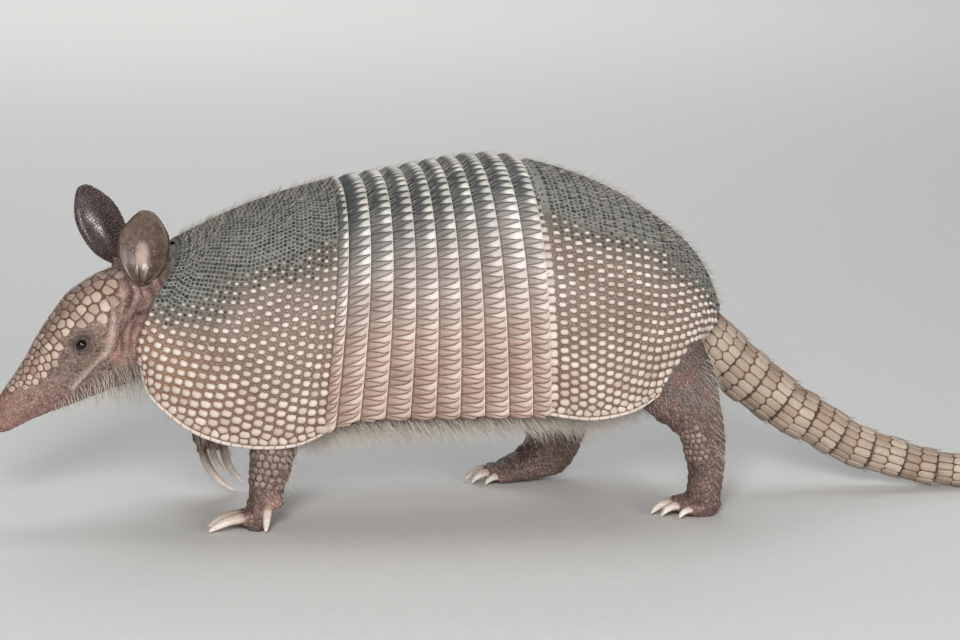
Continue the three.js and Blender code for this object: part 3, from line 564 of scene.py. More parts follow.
def wedge_strip(soup, s0, s1, pitch, seed, front_depth, start, margin_uv=None, drop=0.75):
    """A ring of wedge shaped scutes that widen backwards to a rounded lip."""
    rng = np.random.default_rng(seed)
    uu = np.array([-0.2, -0.05, 0.05, 0.12, 0.2, 0.3, 0.4, 0.5, 0.6, 0.7, 0.79, 0.86, 0.915, 0.95, 0.98, 1.0])
    uu = np.concatenate([[start], uu[uu > start + 0.01]])
    rows = len(uu)
    half = half_length((s0 + s1) / 2)
    count = int(round(2 * half / pitch))
    shift = rng.normal(0, 0.05, count)[None]
    wide = 1 + rng.normal(0, 0.06, count)[None]
    tip = 0.05 + rng.normal(0, 0.03, count)[None]
    lean = rng.normal(0, 0.03, count)[None]
    u = uu[:, None]
    hw = np.minimum(0.03 + 0.405 * np.clip((u - tip) / 0.86, 0, 1) * wide, 0.452)
    d = np.minimum(0.085, hw * 0.6)
    j = np.arange(count)[None]
    centre = j + 0.5 + shift * (1 - 0.5 * u) + lean * (1 - u)
    zero = np.zeros_like(hw)
    gap = np.clip(0.5 - hw, 0.03, 0.5)
    g = np.minimum(0.07, gap * 0.5)
    # across each wedge, from the gap before it to the gap after it
    offs = [None, -hw - g, -hw, -hw + d, -0.5 * hw, zero, 0.5 * hw, hw - d, hw, hw + g]
    body = smooth(0.0, 0.10, u)
    dome = np.exp(-((u - 0.34) / 0.22) ** 2)
    swell = smooth(0.1, 0.8, u)
    highs = [0.14 + 0.32 * dome, -0.20 + 0.06 * dome, -0.52 + zero, -0.10 + 0.08 * swell, 0.26 + 0.18 * swell,
             0.42 + 0.26 * swell, 0.26 + 0.18 * swell, -0.10 + 0.08 * swell, -0.52 + zero,
             -0.20 + 0.06 * dome]
    pales = [0.62, 0.45, 0.0, 0.45, 0.9, 1.0, 0.85, 0.35, 0.0, 0.45]
    gaps = [1, 1, 0.6, 0, 0, 0, 0, 0, 0.6, 1]
    w = np.stack([j + zero if o is None else centre + o for o in offs], 2)
    h = np.stack([hh * body + zero for hh in highs], 2)
    pale = np.stack([pp * body + zero for pp in pales], 2)
    gapness = np.stack([gg + zero for gg in gaps], 2)
    rnd = np.repeat(rng.random(count)[None, :, None], rows, 0) * np.ones((1, 1, len(offs)))
    w, h, pale, gapness, rnd = (a.reshape(rows, -1) for a in (w, h, pale, gapness, rnd))
    w = np.concatenate([w, np.full((rows, 1), float(count))], 1)
    h, pale, gapness, rnd = (np.concatenate([a, a[:, :1]], 1) for a in (h, pale, gapness, rnd))
    cols = w.shape[1]
    u = np.repeat(uu[:, None], cols, 1)
    # the lip is partly the band's pale rear edge, partly a painted highlight where its rounded edge catches
    # the light
    lip = smooth(0.93, 0.975, u)
    pale = np.maximum(pale, 0.62 * lip)
    h = mix(h, 0.12 + 0.5 * h, smooth(0.90, 0.97, u))
    plain = smooth(0.955, 0.985, np.abs(2 * w / count - 1)) if margin_uv else 0.0
    h, pale = mix(h, 0.15, plain), np.maximum(pale, 0.7 * plain)
    s = s0 + u * (s1 - s0)
    f = (2 * w / count - 1) * (1 - 0.010 * smooth(0.6, 1.0, u) ** 2)
    ang = angle_at(s, f * half_length(s))
    p, _, _, normal = shell_frame(s, ang)
    wave = noise3(np.stack([f * 9, u * 0, u * 0 + seed], -1), 1.0, 5.0)
    depth = mix(front_depth, -0.42, smooth(-0.15, 0.78, u)) + drop * smooth(0.86, 1.02, u) + 0.06 * wave
    rim = smooth(0.982, 1.0, np.abs(f))
    out = p - normal * (depth + rim * 0.8)[..., None] + normal * h[..., None]
    inner = p - normal * (depth + mix(1.15, 1.5, smooth(0.9, 0.0, u)) + 0.3)[..., None]
    inner_rows = [0, rows // 3, 2 * rows // 3, rows - 1]
    block = np.concatenate([out.reshape(-1, 3), inner[inner_rows].reshape(-1, 3)])
    inside = np.concatenate([np.zeros(rows * cols), np.ones(4 * cols)])
    attrs = dict(dors=dorsal(np.clip(s, 0, 1), ang, p), flank=smooth(62, 100, np.abs(ang)), rnd=rnd,
                 pale=pale, lip=lip, gap=gapness, fore=1 - np.clip(u, 0, 1))
    attrs = {key: np.concatenate([v.ravel(), v[inner_rows].ravel()]) for key, v in attrs.items()}
    k = np.arange(cols - 1)
    rear = np.stack([(rows - 1) * cols + k, (rows - 1) * cols + k + 1, (rows + 3) * cols + k + 1,
                     (rows + 3) * cols + k], 1)
    front = np.stack([k, rows * cols + k, rows * cols + k + 1, k + 1], 1)
    end_a = np.array([[i * cols for i in range(rows)] + [(rows + i) * cols for i in (3, 2, 1, 0)]])
    uv = None
    if margin_uv:
        a, b = margin_uv
        grid = np.stack([mix(a, b, np.clip(u, 0, 1)), 0.01 + 0.98 * (f * 0.5 + 0.5)], -1)
        low = np.broadcast_to([0.5, 0.9], (4, cols, 2)) + 0.001 * grid[inner_rows]
        uv = np.concatenate([grid.reshape(-1, 2), low.reshape(-1, 2)])
    soup.add(block, [grid_faces(rows, cols, flip=True), grid_faces(4, cols) + rows * cols, rear[:, ::-1],
                     front[:, ::-1], end_a[:, ::-1], end_a + cols - 1], uv=uv, inside=inside, scute=0.6,
             **attrs)


def band(index, s0, s1):
    soup = Soup()
    wedge_strip(soup, s0, s1, 5.45, 40 + index, 2.2, -0.2)
    name = f"band_{index + 1}"
    soup.build(name, [MATERIALS["shell"]], "shell", [name])


# ---- the head ------------------------------------------------------------------------------------
def head_surface(along, angle, grow=0.0):
    along, angle = np.broadcast_arrays(np.asarray(along, float), np.asarray(angle, float))
    h = HEAD(along)
    top, bottom, half, level = (h[..., i] for i in range(4))
    sine, cosine = np.sin(np.radians(angle)), np.cos(np.radians(angle))
    reach = np.where(cosine > 0, top - level, level - bottom)
    return head_to_body(np.stack([along, (half + grow) * spow(sine, ROUNDNESS),
                                  level + (reach + grow) * spow(cosine, ROUNDNESS)], -1))


def head_frame(along, angle, grow=0.0):
    p = head_surface(along, angle, grow)
    forward = unit(head_surface(along + 0.4, angle, grow) - head_surface(along - 0.4, angle, grow))
    around = unit(head_surface(along, angle + 2, grow) - head_surface(along, angle - 2, grow))
    return p, forward, around, unit(np.cross(around, forward))


HEAD_AXES = np.stack([head_to_body(np.eye(3)[i]) - HEAD_ORIGIN for i in range(3)])


def to_head(p):
    return (p - HEAD_ORIGIN) @ HEAD_AXES.T


def head_shield():
    rng = np.random.default_rng(61)
    soup = Soup()
    length = PLATES_END - PLATES_START
    rows, cols = 90, 60
    along = np.linspace(PLATES_START, PLATES_END, rows)[:, None]
    f = np.linspace(-1, 1, cols)[None]
    a, g = np.broadcast_arrays(along, f * SHIELD_REACH(along[:, 0]))
    p, _, _, normal = head_frame(a, g, 0.2)
    edge = (smooth(0.0, 0.12, 1 - np.abs(f)) * smooth(PLATES_START, PLATES_START + 3, a)
            * smooth(PLATES_END, PLATES_END - 3, a))
    out = p - normal * (0.25 + 0.9 * (1 - edge))[..., None] + normal * (0.08 * noise3(p, 1.2))[..., None]
    inner = p - normal * 1.9
    uv = np.stack(np.broadcast_arrays(0.01 + 0.46 * (a - PLATES_START) / length,
                                      0.01 + 0.98 * (f * 0.5 + 0.5)), -1)
    closed_grid(soup, out[::-1], inner[::-1], uv=uv[::-1], rnd=0.5)

    # rows of plates, smaller towards the snout, with ghosts beyond their ends to close the outer cells
    pts_a, pts_g, ghosts = [], [], []
    x, r = PLATES_START + 0.4, 0
    while x < PLATES_END - 0.5:
        pitch = float(np.interp(x, [-8, 10, 35, 55, 78], [6.9, 6.4, 5.2, 4.1, 3.2]))
        x += pitch * 0.41
        limit = float(SHIELD_REACH(np.array(x))[0])
        dense = np.linspace(-limit, limit, 200)
        run = run_along(head_surface(np.full(200, x), dense))
        n = max(int(round(run[-1] / pitch)), 1)
        k = (np.arange(n) + 0.5) if r % 2 == 0 or n < 3 else np.arange(1, n)
        step = run[-1] / n
        pts_g.append(np.interp(k * step + rng.normal(0, 0.13 * pitch, len(k)), run, dense))
        pts_a.append(np.full(len(k), x) + rng.normal(0, 0.12 * pitch, len(k)))
        over = limit + (0.5 if r % 2 == 0 else 0.15) * step / run[-1] * 2 * limit
        ghosts += [head_surface(np.array([x]), np.array([sign * over])) for sign in (-1, 1)]
        x += pitch * 0.41
        r += 1
    a, g = np.clip(np.concatenate(pts_a), PLATES_START + 1, PLATES_END - 1), np.concatenate(pts_g)
    p, forward, _, normal = head_frame(a, g, 0.2)
    for sign, end, far in ((-1, a.min(), PLATES_START), (1, a.max(), PLATES_END)):
        at = np.abs(a - end) < 2.0
        ghosts.append(head_surface(np.full(at.sum(), far) + sign * 2.2, g[at]))
    reach, phi, *_ = cells(p, normal, -forward, np.concatenate([p, *ghosts]), 14, 0.15, 4.2, power=13)
    front = smooth(50, 76, a)
    place = np.stack([0.52 + 0.46 * (a - PLATES_START) / length, 0.02 + 0.96 * (g / 140 + 0.5)], 1)
    tiles(soup, p, normal, -forward, reach, phi, [(1.0, -1.2, 0.0), (0.93, 0.35, 0.45), (0.78, 0.85, 0.95)],
          0.985, 0.50 * (1 - 0.35 * front), 1.0, place, rnd=rng.random(len(p)), face=front,
          crown=smooth(42, 14, np.abs(g)) * smooth(62, 40, a))
    soup.build("head_shield", [MATERIALS["shield"]], "shell", ["head_shield"], with_uv=True)


# ---- the tail ------------------------------------------------------------------------------------
def tail_frame(t, angle, swell=0.0):
    t, angle, swell = np.broadcast_arrays(np.asarray(t, float), np.asarray(angle, float),
                                          np.asarray(swell, float))
    k = TAIL(t)
    tangent = unit(TAIL(t + 0.5)[..., :3] - TAIL(t - 0.5)[..., :3])
    side = unit(np.array([0, 1.0, 0]) - tangent * tangent[..., 1:2])
    up = np.cross(side, tangent)
    out = side * np.sin(angle)[..., None] + up * np.cos(angle)[..., None]
    return k[..., :3] + out * (k[..., 3] + swell)[..., None], tangent, out


def tail_piece(name, start, stop, rows, per, flare, seed, scaly=0.0):
    """A ring or the end of the tail, with rows of scutes at the given shares of its length."""
    rng = np.random.default_rng(seed)
    soup = Soup()
    length = stop - start
    n, m = 72, max(int(length), 12)
    t = np.linspace(start, stop, m)
    u = (t - start) / length
    ang = turns(n)
    swell = -0.5 - flare * (1 - smooth(0, 1, u)) - (0.8 if flare else 0.0) * smooth(0.975, 1.0, u)
    p, _, out = tail_frame(t[:, None], ang[None], swell[:, None])
    p = p + out * (0.08 * noise3(p, 1.4, seed))[..., None]
    ends = [TAIL(np.array(t))[None, :3] for t in (start, stop)]
    uv = np.stack(np.broadcast_arrays(0.01 + 0.46 * u[:, None], 0.01 + 0.96 * (ang / 2 / np.pi)[None]), -1)
    uv = np.concatenate([uv.reshape(-1, 2), [[0.485, 0.3], [0.485, 0.7]]])
    faces = [grid_faces(m, n, wrap=True), *[fan[:, ::-1] for fan in end_fans(m, n)]]
    soup.add(np.concatenate([p.reshape(-1, 3), *ends]), faces, uv=uv, rnd=0.5)

    ts, an = [], []
    for r, (a, b) in enumerate(rows):
        mid = start + (a + b) / 2 * length
        count = max(int(round(2 * np.pi * float(TAIL(np.array(mid))[3]) / per(mid))), 5)
        an.append(turns(count, 0.5 * (r % 2)) + rng.normal(0, 0.02, count))
        ts.append(np.full(count, mid) + rng.normal(0, 0.15, count))
    t1, a1 = np.concatenate(ts), np.concatenate(an)
    u1 = (t1 - start) / length
    p, tangent, out = tail_frame(t1, a1, -0.35 - flare * (1 - smooth(0, 1, u1)))
    normal = unit(out - tangent * (flare * 0.9 / length))
    others = [p]
    for row, sign in ((0, -1), (len(rows) - 1, 1)):
        at = np.arange(len(ts[row])) + sum(len(v) for v in ts[:row])
        others.append(p[at] + tangent[at] * sign * ((rows[row][1] - rows[row][0]) * length) * 0.97)
    reach, phi, *_ = cells(p, normal, tangent, np.concatenate(others), 18, 0.07, 7.5, k=8, power=18,
                           squeeze=1.0 if scaly else 0.72)
    place = np.stack([0.52 + 0.46 * u1, 0.02 + 0.96 * ((a1 / 2 / np.pi) % 1.0)], 1)
    height = mix(0.25, 0.46, smooth(2.0, 5.0, p[:, 2]))
    # front is 1 at the front of each ring, where the finish paints the shade cast by the flared edge of the
    # ring before
    tiles(soup, p, normal, tangent, reach, phi, [(1.0, -1.0, 0.0), (0.955, 0.3, 0.7), (0.84, 0.8, 1.0)], 0.99,
          height, 1.02, place, skew=0.28 * scaly, rnd=rng.random(len(p)), crest=smooth(0.1, 0.95, np.cos(a1)),
          front=smooth(0.75, 0.15, u1) * (1 - scaly))
    for v in soup.verts:
        v[:, 2] = np.maximum(v[:, 2], TAIL_FLOOR)
    soup.build(name, [MATERIALS["tail"]], "shell", [name], with_uv=True)


def tail():
    step = RINGED_LENGTH / TAIL_RINGS
    halves = [(0.01, 0.47), (0.47, 0.985)]
    for i in range(TAIL_RINGS):
        a = -TAIL_ROOT if i == 0 else i * step
        rows = [(0.05, 0.28), (0.28, 0.5), (0.5, 0.74), (0.74, 0.99)] if i == 0 else halves
        tail_piece(f"tail_ring_{i + 1}", a + 0.15, (i + 1) * step - 0.15, rows,
                   lambda t: float(np.interp(t, [0, 236], [5.9, 4.6])), 1.2, 100 + i)
    count = 25
    rows = [(k / count, (k + 1) / count) for k in range(count)]
    tail_piece("tail_end", RINGED_LENGTH + 0.15, TAIL_LENGTH - 0.15, rows,
               lambda t: float(np.interp(t, [236, 329], [4.4, 2.6])), 0.0, 120, scaly=1.0)


# ---- flesh ---------------------------------------------------------------------------------------
# legs and the feet under them are [number, x, y, z, half depth, half width]
LEGS = {
    "front_left": [[0, -112, -34, 100, 24, 14], [1, -103, -41, 68, 17, 13.5], [2, -104, -43, 46, 13.3, 11.5],
                   [3, -108, -43.5, 20, 9.2, 9]],
    "front_right": [[0, -116, 34, 100, 24, 14], [1, -108, 40, 76, 17, 13], [2, -113, 42.5, 60, 12.5, 11],
                    [3, -124, 43, 47, 9.6, 9]],
    "hind_left": [[0, 92, -28, 108, 30, 16], [1, 108, -38, 86, 26, 15], [2, 120, -47, 67, 21.5, 14.5],
                  [3, 129.5, -52, 49, 13.5, 12.2], [4, 133, -53, 31, 10.6, 9.8]],
    "hind_right": [[0, 94, 30, 110, 32, 17], [1, 91, 39, 84, 25, 15.5], [2, 80, 45, 56, 20, 15],
                   [3, 70.5, 46, 33, 16.5, 12.5]],
}
PALMS = {"front_left": [[0, -108.4, -43.5, 19.5, 9, 8.8], [1, -112.4, -43.4, 9, 6.9, 9.4],
                        [2, -114, -43, -3, 5.9, 9.2]], "front_right": [[0, -124.5, 43, 46.5, 9.4, 9],
                                                                       [1, -129, 43, 40, 8.8, 10.4],
                                                                       [2, -130.5, 43, 31, 7, 10.8]],
         "hind_left": [[0, 133.2, -53, 30.5, 10.4, 9.8], [1, 132, -53, 14, 9.4, 10.8],
                       [2, 128.5, -53, -3, 10.5, 11.5]], "hind_right": [[0, 70.4, 46, 32.5, 16.3, 12.4],
                                                                        [1, 66, 46, 19, 16, 12],
                                                                        [2, 54, 46.5, 10, 10.5, 12],
                                                                        [3, 40, 47, 5.2, 7, 12.5]], }
# [root, end, radius, tip of the claw, how far the claw's middle bows up]
TOES = {
    "front_left": [[[-109, -36, 8], [-117, -34.5, 6.5], 4.2, [-126.5, -33.5, 0.9], 1.4],
                   [[-111, -41, 7.5], [-121.5, -40.5, 6.8], 4.8, [-139.5, -39, 0.9], 1.2],
                   [[-111, -47, 7.5], [-121.5, -48, 6.8], 4.8, [-140.5, -51, 0.9], 1.2],
                   [[-105, -49.5, 16.5], [-108.8, -53.5, 12.6], 4.2, [-110.2, -56, 0.9], 0.5]],
    "front_right": [[[-129, 36, 36], [-128.5, 34, 28.5], 4, [-121, 33, 15], -1.6],
                    [[-131, 40.5, 34], [-133, 40, 25], 4.8, [-114.5, 40, 2.4], -3.6],
                    [[-123, 46.5, 33], [-120.5, 47, 25.5], 4.8, [-108.5, 47.5, 5], -2.6],
                    [[-124, 50.5, 37], [-122, 53, 31], 4.2, [-114.5, 54.5, 19], -1.4]],
    "hind_left": [[[128, -44, 5.5], [120, -42.5, 4.5], 4, [112.5, -41.5, 0.9], 1.2],
                  [[126, -48, 6.5], [116, -47.5, 5.5], 4.6, [105, -47, 0.9], 1.8],
                  [[125, -53, 6.5], [114.5, -53.5, 5.5], 4.8, [102, -53.5, 0.9], 1.9],
                  [[126, -58, 6.5], [116.5, -59.5, 5.5], 4.6, [106, -60.5, 0.9], 1.8],
                  [[128.5, -62, 5.5], [122, -64.5, 4.5], 4, [114.5, -66.5, 0.9], 1.2]],
    "hind_right": [[[42, 38, 5], [35, 36.5, 4.5], 4, [27, 35.5, 0.9], 1.2],
                   [[40, 42, 6], [31, 41.5, 5.5], 4.6, [20.5, 41, 0.9], 1.8],
                   [[39, 47, 6], [29.5, 47.5, 5.5], 4.8, [17.5, 48, 0.9], 1.9],
                   [[40, 52, 6], [31.5, 53.5, 5.5], 4.6, [21.5, 54.5, 0.9], 1.8],
                   [[42.5, 56, 5], [37, 58.5, 4.5], 4, [30, 60.5, 0.9], 1.2]],
}
# [share of the length, half width, depth of the hollow]
EAR_SHAPE = through([[0, 1.8, 1.2], [0.075, 5.3, 3], [0.15, 8.5, 4.6], [0.25, 11.6, 5.8], [0.35, 13.1, 6.2],
                     [0.45, 13.9, 6], [0.6, 13.9, 5], [0.72, 12.6, 3.8], [0.82, 10, 2.6], [0.91, 7, 1.4],
                     [0.97, 4.3, 0.6], [1, 2, 0.3]])
# base, tip, the direction it faces and its share of the full width
EARS = {"left": ([-172.2, -25.5, 130.8], [-168.2, -25, 171.6], [-0.3, -1, 0], 1.0),
        "right": ([-178.5, 11.5, 136.5], [-199.2, 20, 179.6], [-0.35, 1, 0], 0.92)}
EAR_ROOTS = {"left": [[0, -174, -11, 125, 7, 7], [1, -172.3, -17, 130.5, 6, 6],
                      [2, -171.3, -19.4, 134.3, 2.2, 2.2]],
             "right": [[0, -176, 6, 127, 7, 7], [1, -178.5, 9, 135, 6, 6], [2, -180.5, 11, 143, 3.4, 3.4]]}
EAR_THICKNESS = 2.0


def tube(soup, rings):
    """A closed tube through rings of points, facing outwards."""
    rings = np.asarray(rings, float)
    m, n = rings.shape[:2]
    verts = np.concatenate([rings.reshape(-1, 3), rings[0].mean(0)[None], rings[-1].mean(0)[None]])
    q = grid_faces(m, n, wrap=True)
    faces = [q, *end_fans(m, n)]
    normal = np.cross(verts[q[:, 1]] - verts[q[:, 0]], verts[q[:, 2]] - verts[q[:, 0]])
    if (normal * (verts[q].mean(1) - np.repeat(rings.mean(1)[:-1], n, 0))).sum() < 0:
        faces = [f[:, ::-1] for f in faces]
    soup.add(verts, faces)


def limb_rings(knots, steps, sides=36, grow=0.0):
    shape = through(knots)
    t = np.linspace(knots[0][0], knots[-1][0], steps + 1)
    k = shape(t)
    tangent = unit(shape(np.minimum(t + 0.01, t[-1]))[:, :3] - shape(np.maximum(t - 0.01, t[0]))[:, :3])
    side = unit(np.array([0, 1.0, 0]) - tangent * tangent[:, 1:2])
    front = np.cross(side, tangent)
    a = turns(sides)
    return (k[:, None, :3] + front[:, None] * ((k[:, 3] + grow)[:, None] * np.cos(a)[None])[..., None]
            + side[:, None] * ((k[:, 4] + grow)[:, None] * np.sin(a)[None])[..., None])


def horn_frame(a, b):
    """Both ends of a toe or claw, and its directions across and up."""
    a, b = np.array(a, float), np.array(b, float)
    direction = unit(b - a)
    level = np.array([0, 1.0, 0]) if abs(direction[2]) > 0.9 else np.array([0, 0, 1.0])
    side = unit(np.cross(direction, level))
    return a, b, side, np.cross(side, direction)


def toe_rings(root, end, radius, sides=20):
    a, b, side, up = horn_frame(root, end)
    u = np.concatenate([[-0.3, -0.28, -0.2, -0.1], np.linspace(0, 0.9, 8), [0.96, 1.02, 1.06, 1.08]])
    radii = radius * mix(1, 0.80, np.clip(u, 0, 1))
    radii = radii * np.sqrt(np.clip(1 - (np.clip(u - 0.86, 0, 1) / 0.23) ** 2, 0.02, 1))
    radii = radii * np.sqrt(np.clip(1 - (np.clip(-u, 0, 1) / 0.31) ** 2, 0.02, 1))
    radii = (radii * (1 + 0.07 * np.sin(u * 7.5) - 0.04))[:, None, None]
    ang = turns(sides)[None, :, None]
    middle = a + (b - a) * u[:, None]
    return middle[:, None] + side * radii * np.cos(ang) + up * radii * np.sin(ang)


def trunk_rings(steps=120, sides=180, front=0.07, rear=0.955, clear=SHELL_THICKNESS + 1.4):
    s = np.linspace(front, rear, steps + 1)[:, None]
    angle = np.arange(sides) * 360 / sides
    turn = np.where(angle > 180, angle - 360, angle)[None]
    near = np.clip(turn, -FLANK_ANGLE, FLANK_ANGLE)
    p, _, _, normal = shell_frame(s, near)
    p = p - normal * clear
    around = np.radians(90 * np.clip(np.abs(turn) - FLANK_ANGLE, 0, None) / (180 - FLANK_ANGLE))
    belly = BELLY(s[:, 0])
    x = mix(p[..., 0], belly[:, None, 0], np.sin(around))
    z = mix(p[..., 2], belly[:, None, 1], np.sin(around))
    return np.stack([x, p[..., 1] * np.cos(around), z], -1)


def ear_grids(side, rows=72, cols=64):
    """The hollow and the back of an ear, and the place across and along it of each point."""
    base, tip, faces = (np.array(v, float) for v in EARS[side][:3])
    up = tip - base
    length = np.linalg.norm(up)
    up = up / length
    front = unit(faces - up * (faces @ up))
    across = np.cross(up, front)
    v = 0.5 - 0.5 * np.cos(np.linspace(0, np.pi, rows))
    v = mix(v, np.linspace(0, 1, rows), 0.35)
    shape = EAR_SHAPE(v)
    q = np.linspace(-1, 1, cols + 1)
    q = (mix(q, np.sin(q * np.pi / 2), 0.6))[None]
    ends = smooth(0, 0.04, v) * smooth(1.0, 0.95, v)
    out = []
    for back in (0.0, 1.0):
        w = shape[:, :1] * EARS[side][3] - 0.2 * back
        edge = np.sqrt(np.clip(1 - q * q, 0, 1)) ** 0.6 * 0.5 + 0.12
        edge = edge * (0.3 + 0.7 * ends[:, None])
        roll = 1.0 * np.exp(-((np.abs(q) - 0.92) / 0.08) ** 2) * ends[:, None]
        fold = 0.9 * np.exp(-((q + 0.12 - 0.2 * v[:, None]) / 0.16) ** 2) * smooth(0.42, 0.1, v)[:, None]
        ribs = 0.22 * np.cos(q * 8.0) * smooth(0.95, 0.3, v)[:, None] * smooth(0.9, 0.6, np.abs(q))
        depth = -shape[:, 1:2] * (1 - q * q) - EAR_THICKNESS * (0.5 + (edge if back else -edge) * 0.75)
        depth = depth - roll * 0.7 + (ribs + fold * ends[:, None]) * (1 - back)
        out.append(base + up * (length * v)[:, None, None] + across * (q * w)[..., None]
                   + front * depth[..., None])
    return out[0], out[1], np.broadcast_arrays(q, v[:, None])


def flesh_source():
    """Closed tubes of head, trunk, neck, legs, toes and ear roots, which overlap to be fused."""
    soup = Soup()
    angle = np.arange(96) * 360 / 96
    along = np.concatenate([np.linspace(HEAD_BACK, 90, 90), [92, 94, 95.4, 96.3, 96.9]])
    rings = head_surface(along[:, None], angle[None], 0.0)
    for k, shrink in ((-3, 0.93), (-2, 0.8), (-1, 0.55)):
        rings[k] = rings[k].mean(0) + (rings[k] - rings[k].mean(0)) * shrink
    tube(soup, rings)
    trunk = trunk_rings()
    tube(soup, trunk)
    turn = np.arange(180) * 2.0
    front = head_surface(np.full(180, 2.0), turn, -1.5)
    rear = trunk_rings(1, 180, 0.05, 0.3)[0]
    rear = rear.mean(0) + (rear - rear.mean(0)) * 1.012
    u = np.linspace(0, 1, 30)[:, None, None]
    tube(soup, front[None] * (1 - u) + rear[None] * u)
    collar = trunk_rings(1, 180, 0.008, 0.3, SHELL_THICKNESS + 0.5)[0]
    high = smooth(112, 70, np.minimum(turn, 360 - turn))[:, None]
    collar = mix(mix(front, rear, 0.7), collar, high)
    u = np.linspace(0, 1, 16)[:, None, None]
    tube(soup, np.concatenate([mix(front, collar, u), mix(collar, rear, u[1:])]))
    for name in LEGS:
        tube(soup, limb_rings(LEGS[name], 40))
        tube(soup, limb_rings(PALMS[name], 24))
        shin, sole = limb_rings(LEGS[name], 40)[-7], limb_rings(PALMS[name], 24)[5]
        tube(soup, mix(shin[None], sole[None], np.linspace(0, 1, 12)[:, None, None]))
        for root, end, radius, _, _ in TOES[name]:
            tube(soup, toe_rings(root, end, radius))
    tube(soup, toe_rings([-104.2, -50.5, 17.5], [-105.4, -53.6, 15.0], 5.3))
    for root in EAR_ROOTS.values():
        tube(soup, limb_rings(root, 8))
    return soup


# Folds of the cheek and neck as lines of (along, up) of the head, with half width, height and tone.
FACE_FOLDS = (
    ("ridge", [(12, 9), (16.2, 3.6), (21.2, -0.7), (25.2, -3.8), (32.5, -5.7), (39.7, -7.2), (46.2, -8.9),
               (51, -10.5)], 1.7, 0.85),
    ("crease", [(-3, 15), (2, 9.6), (6.5, 7.1), (11, 3.7), (15.5, -0.9), (21, -5.7)], 0.95, -1.35),
    ("crease", [(-6, 6), (1.5, 3.2), (6.5, 2.5), (11.2, 0.6), (14.7, -2.3), (18, -8)], 0.85, -1.2),
    ("plain", [(-4, 10), (4, 5.6), (9, 3.2), (13, -0.8), (16.8, -5.5)], 1.5, 0.2),
    ("raw", [(23, -6.5), (22.5, -8.1), (21.2, -12.6), (18, -15.7), (16.5, -20)], 1.3, -0.9),
    ("crease", [(9, 19), (12.5, 12.5), (17, 7), (22.5, 3.5)], 0.7, -0.55),
    ("crease", [(33.2, -7.6), (40, -9.4), (47, -11.4)], 0.7, -0.5),
)


def near_line(points, line):
    """Distance in a plane to a broken line."""
    line = np.array(line, float)
    best = np.full(len(points), 1e9)
    for a, b in zip(line[:-1], line[1:]):
        t = np.clip(((points - a) @ (b - a)) / ((b - a) @ (b - a)), 0, 1)
        best = np.minimum(best, np.linalg.norm(points - a - t[:, None] * (b - a), axis=1))
    return best


EYE_AXES = {}
for _side, _sign in (("left", -1), ("right", 1)):
    _n = unit(HEAD_AXES[1] * _sign * 0.92 + HEAD_AXES[2] * 0.34 + HEAD_AXES[0] * 0.16)
    _t = unit(HEAD_AXES[0] - _n * (HEAD_AXES[0] @ _n))
    EYE_AXES[_side] = (head_to_body((EYE_PLACE[0], _sign * EYE_PLACE[1], EYE_PLACE[2])), _n, _t,
                       np.cross(_n, _t))
RIM_LINE = RIM(np.linspace(0, 1, 200))


def hidden_by_shell(p, margin):
    return (p[:, 0] > -152) & (p[:, 0] < 134) & (
        p[:, 2] > np.interp(p[:, 0], RIM_LINE[:, 0], RIM_LINE[:, 1]) + margin)


def modified(mesh, kind, hidden=None, **values):
    """The mesh after one modifier, which may have a group of hidden vertices to work on."""
    ob = placed("work", mesh)
    if hidden is not None:
        ob.vertex_groups.new(name="hidden").add(hidden.tolist(), 1.0, "REPLACE")
    mod = ob.modifiers.new(kind, kind)
    for key, value in values.items():
        setattr(mod, key, value)
    graph = bpy.context.evaluated_depsgraph_get()
    made = bpy.data.meshes.new_from_object(ob.evaluated_get(graph), depsgraph=graph)
    bpy.data.objects.remove(ob)
    return made


def vectors_of(mesh, name):
    values = np.zeros(len(mesh.vertices) * 3, np.float32)
    mesh.vertices.foreach_get(name, values)
    return values.reshape(-1, 3).astype(float)


def points_of(mesh):
    return vectors_of(mesh, "co") * METRE


def normals_of(mesh):
    mesh.update()
    return vectors_of(mesh, "normal")


def edges_of(mesh):
    e = np.zeros(len(mesh.edges) * 2, np.int32)
    mesh.edges.foreach_get("vertices", e)
    return e.reshape(-1, 2)


def relaxed(p, edges, weight, rounds):
    """Smooths without shrinking."""
    n = len(p)
    count = np.bincount(edges.ravel(), minlength=n).clip(1)[:, None]
    for _ in range(rounds):
        for step in (0.5, -0.52):
            total = np.stack([np.bincount(edges[:, 0], p[edges[:, 1], i], n)
                              + np.bincount(edges[:, 1], p[edges[:, 0], i], n) for i in range(3)], 1)
            p = p + (total / count - p) * step * weight[:, None]
    return p


def near_ears(p):
    w = np.zeros(len(p))
    for base, tip, *_ in EARS.values():
        base, tip = np.array(base, float), np.array(tip, float)
        t = np.clip((p - base) @ (tip - base) / ((tip - base) @ (tip - base)), 0, 1)
        d = np.linalg.norm(p - base - t[:, None] * (tip - base), axis=1)
        w = np.maximum(w, smooth(17, 14, d) * smooth(0.08, 0.28, t))
    return w


def limb_mask(p):
    w = np.zeros(len(p))
    for name in LEGS:
        for knots in (LEGS[name], PALMS[name]):
            k = through(knots)(np.linspace(knots[0][0], knots[-1][0], 24))
            d = np.linalg.norm(p[:, None] - k[None, :, :3], axis=2) - np.maximum(k[:, 3], k[:, 4])[None]
            w = np.maximum(w, smooth(4.0, 0.5, d.min(1)))
        for root, end, *_ in TOES[name]:
            mid = (np.array(root) + np.array(end)) / 2
            w = np.maximum(w, smooth(14, 8, np.linalg.norm(p - mid, axis=1)))
    return w


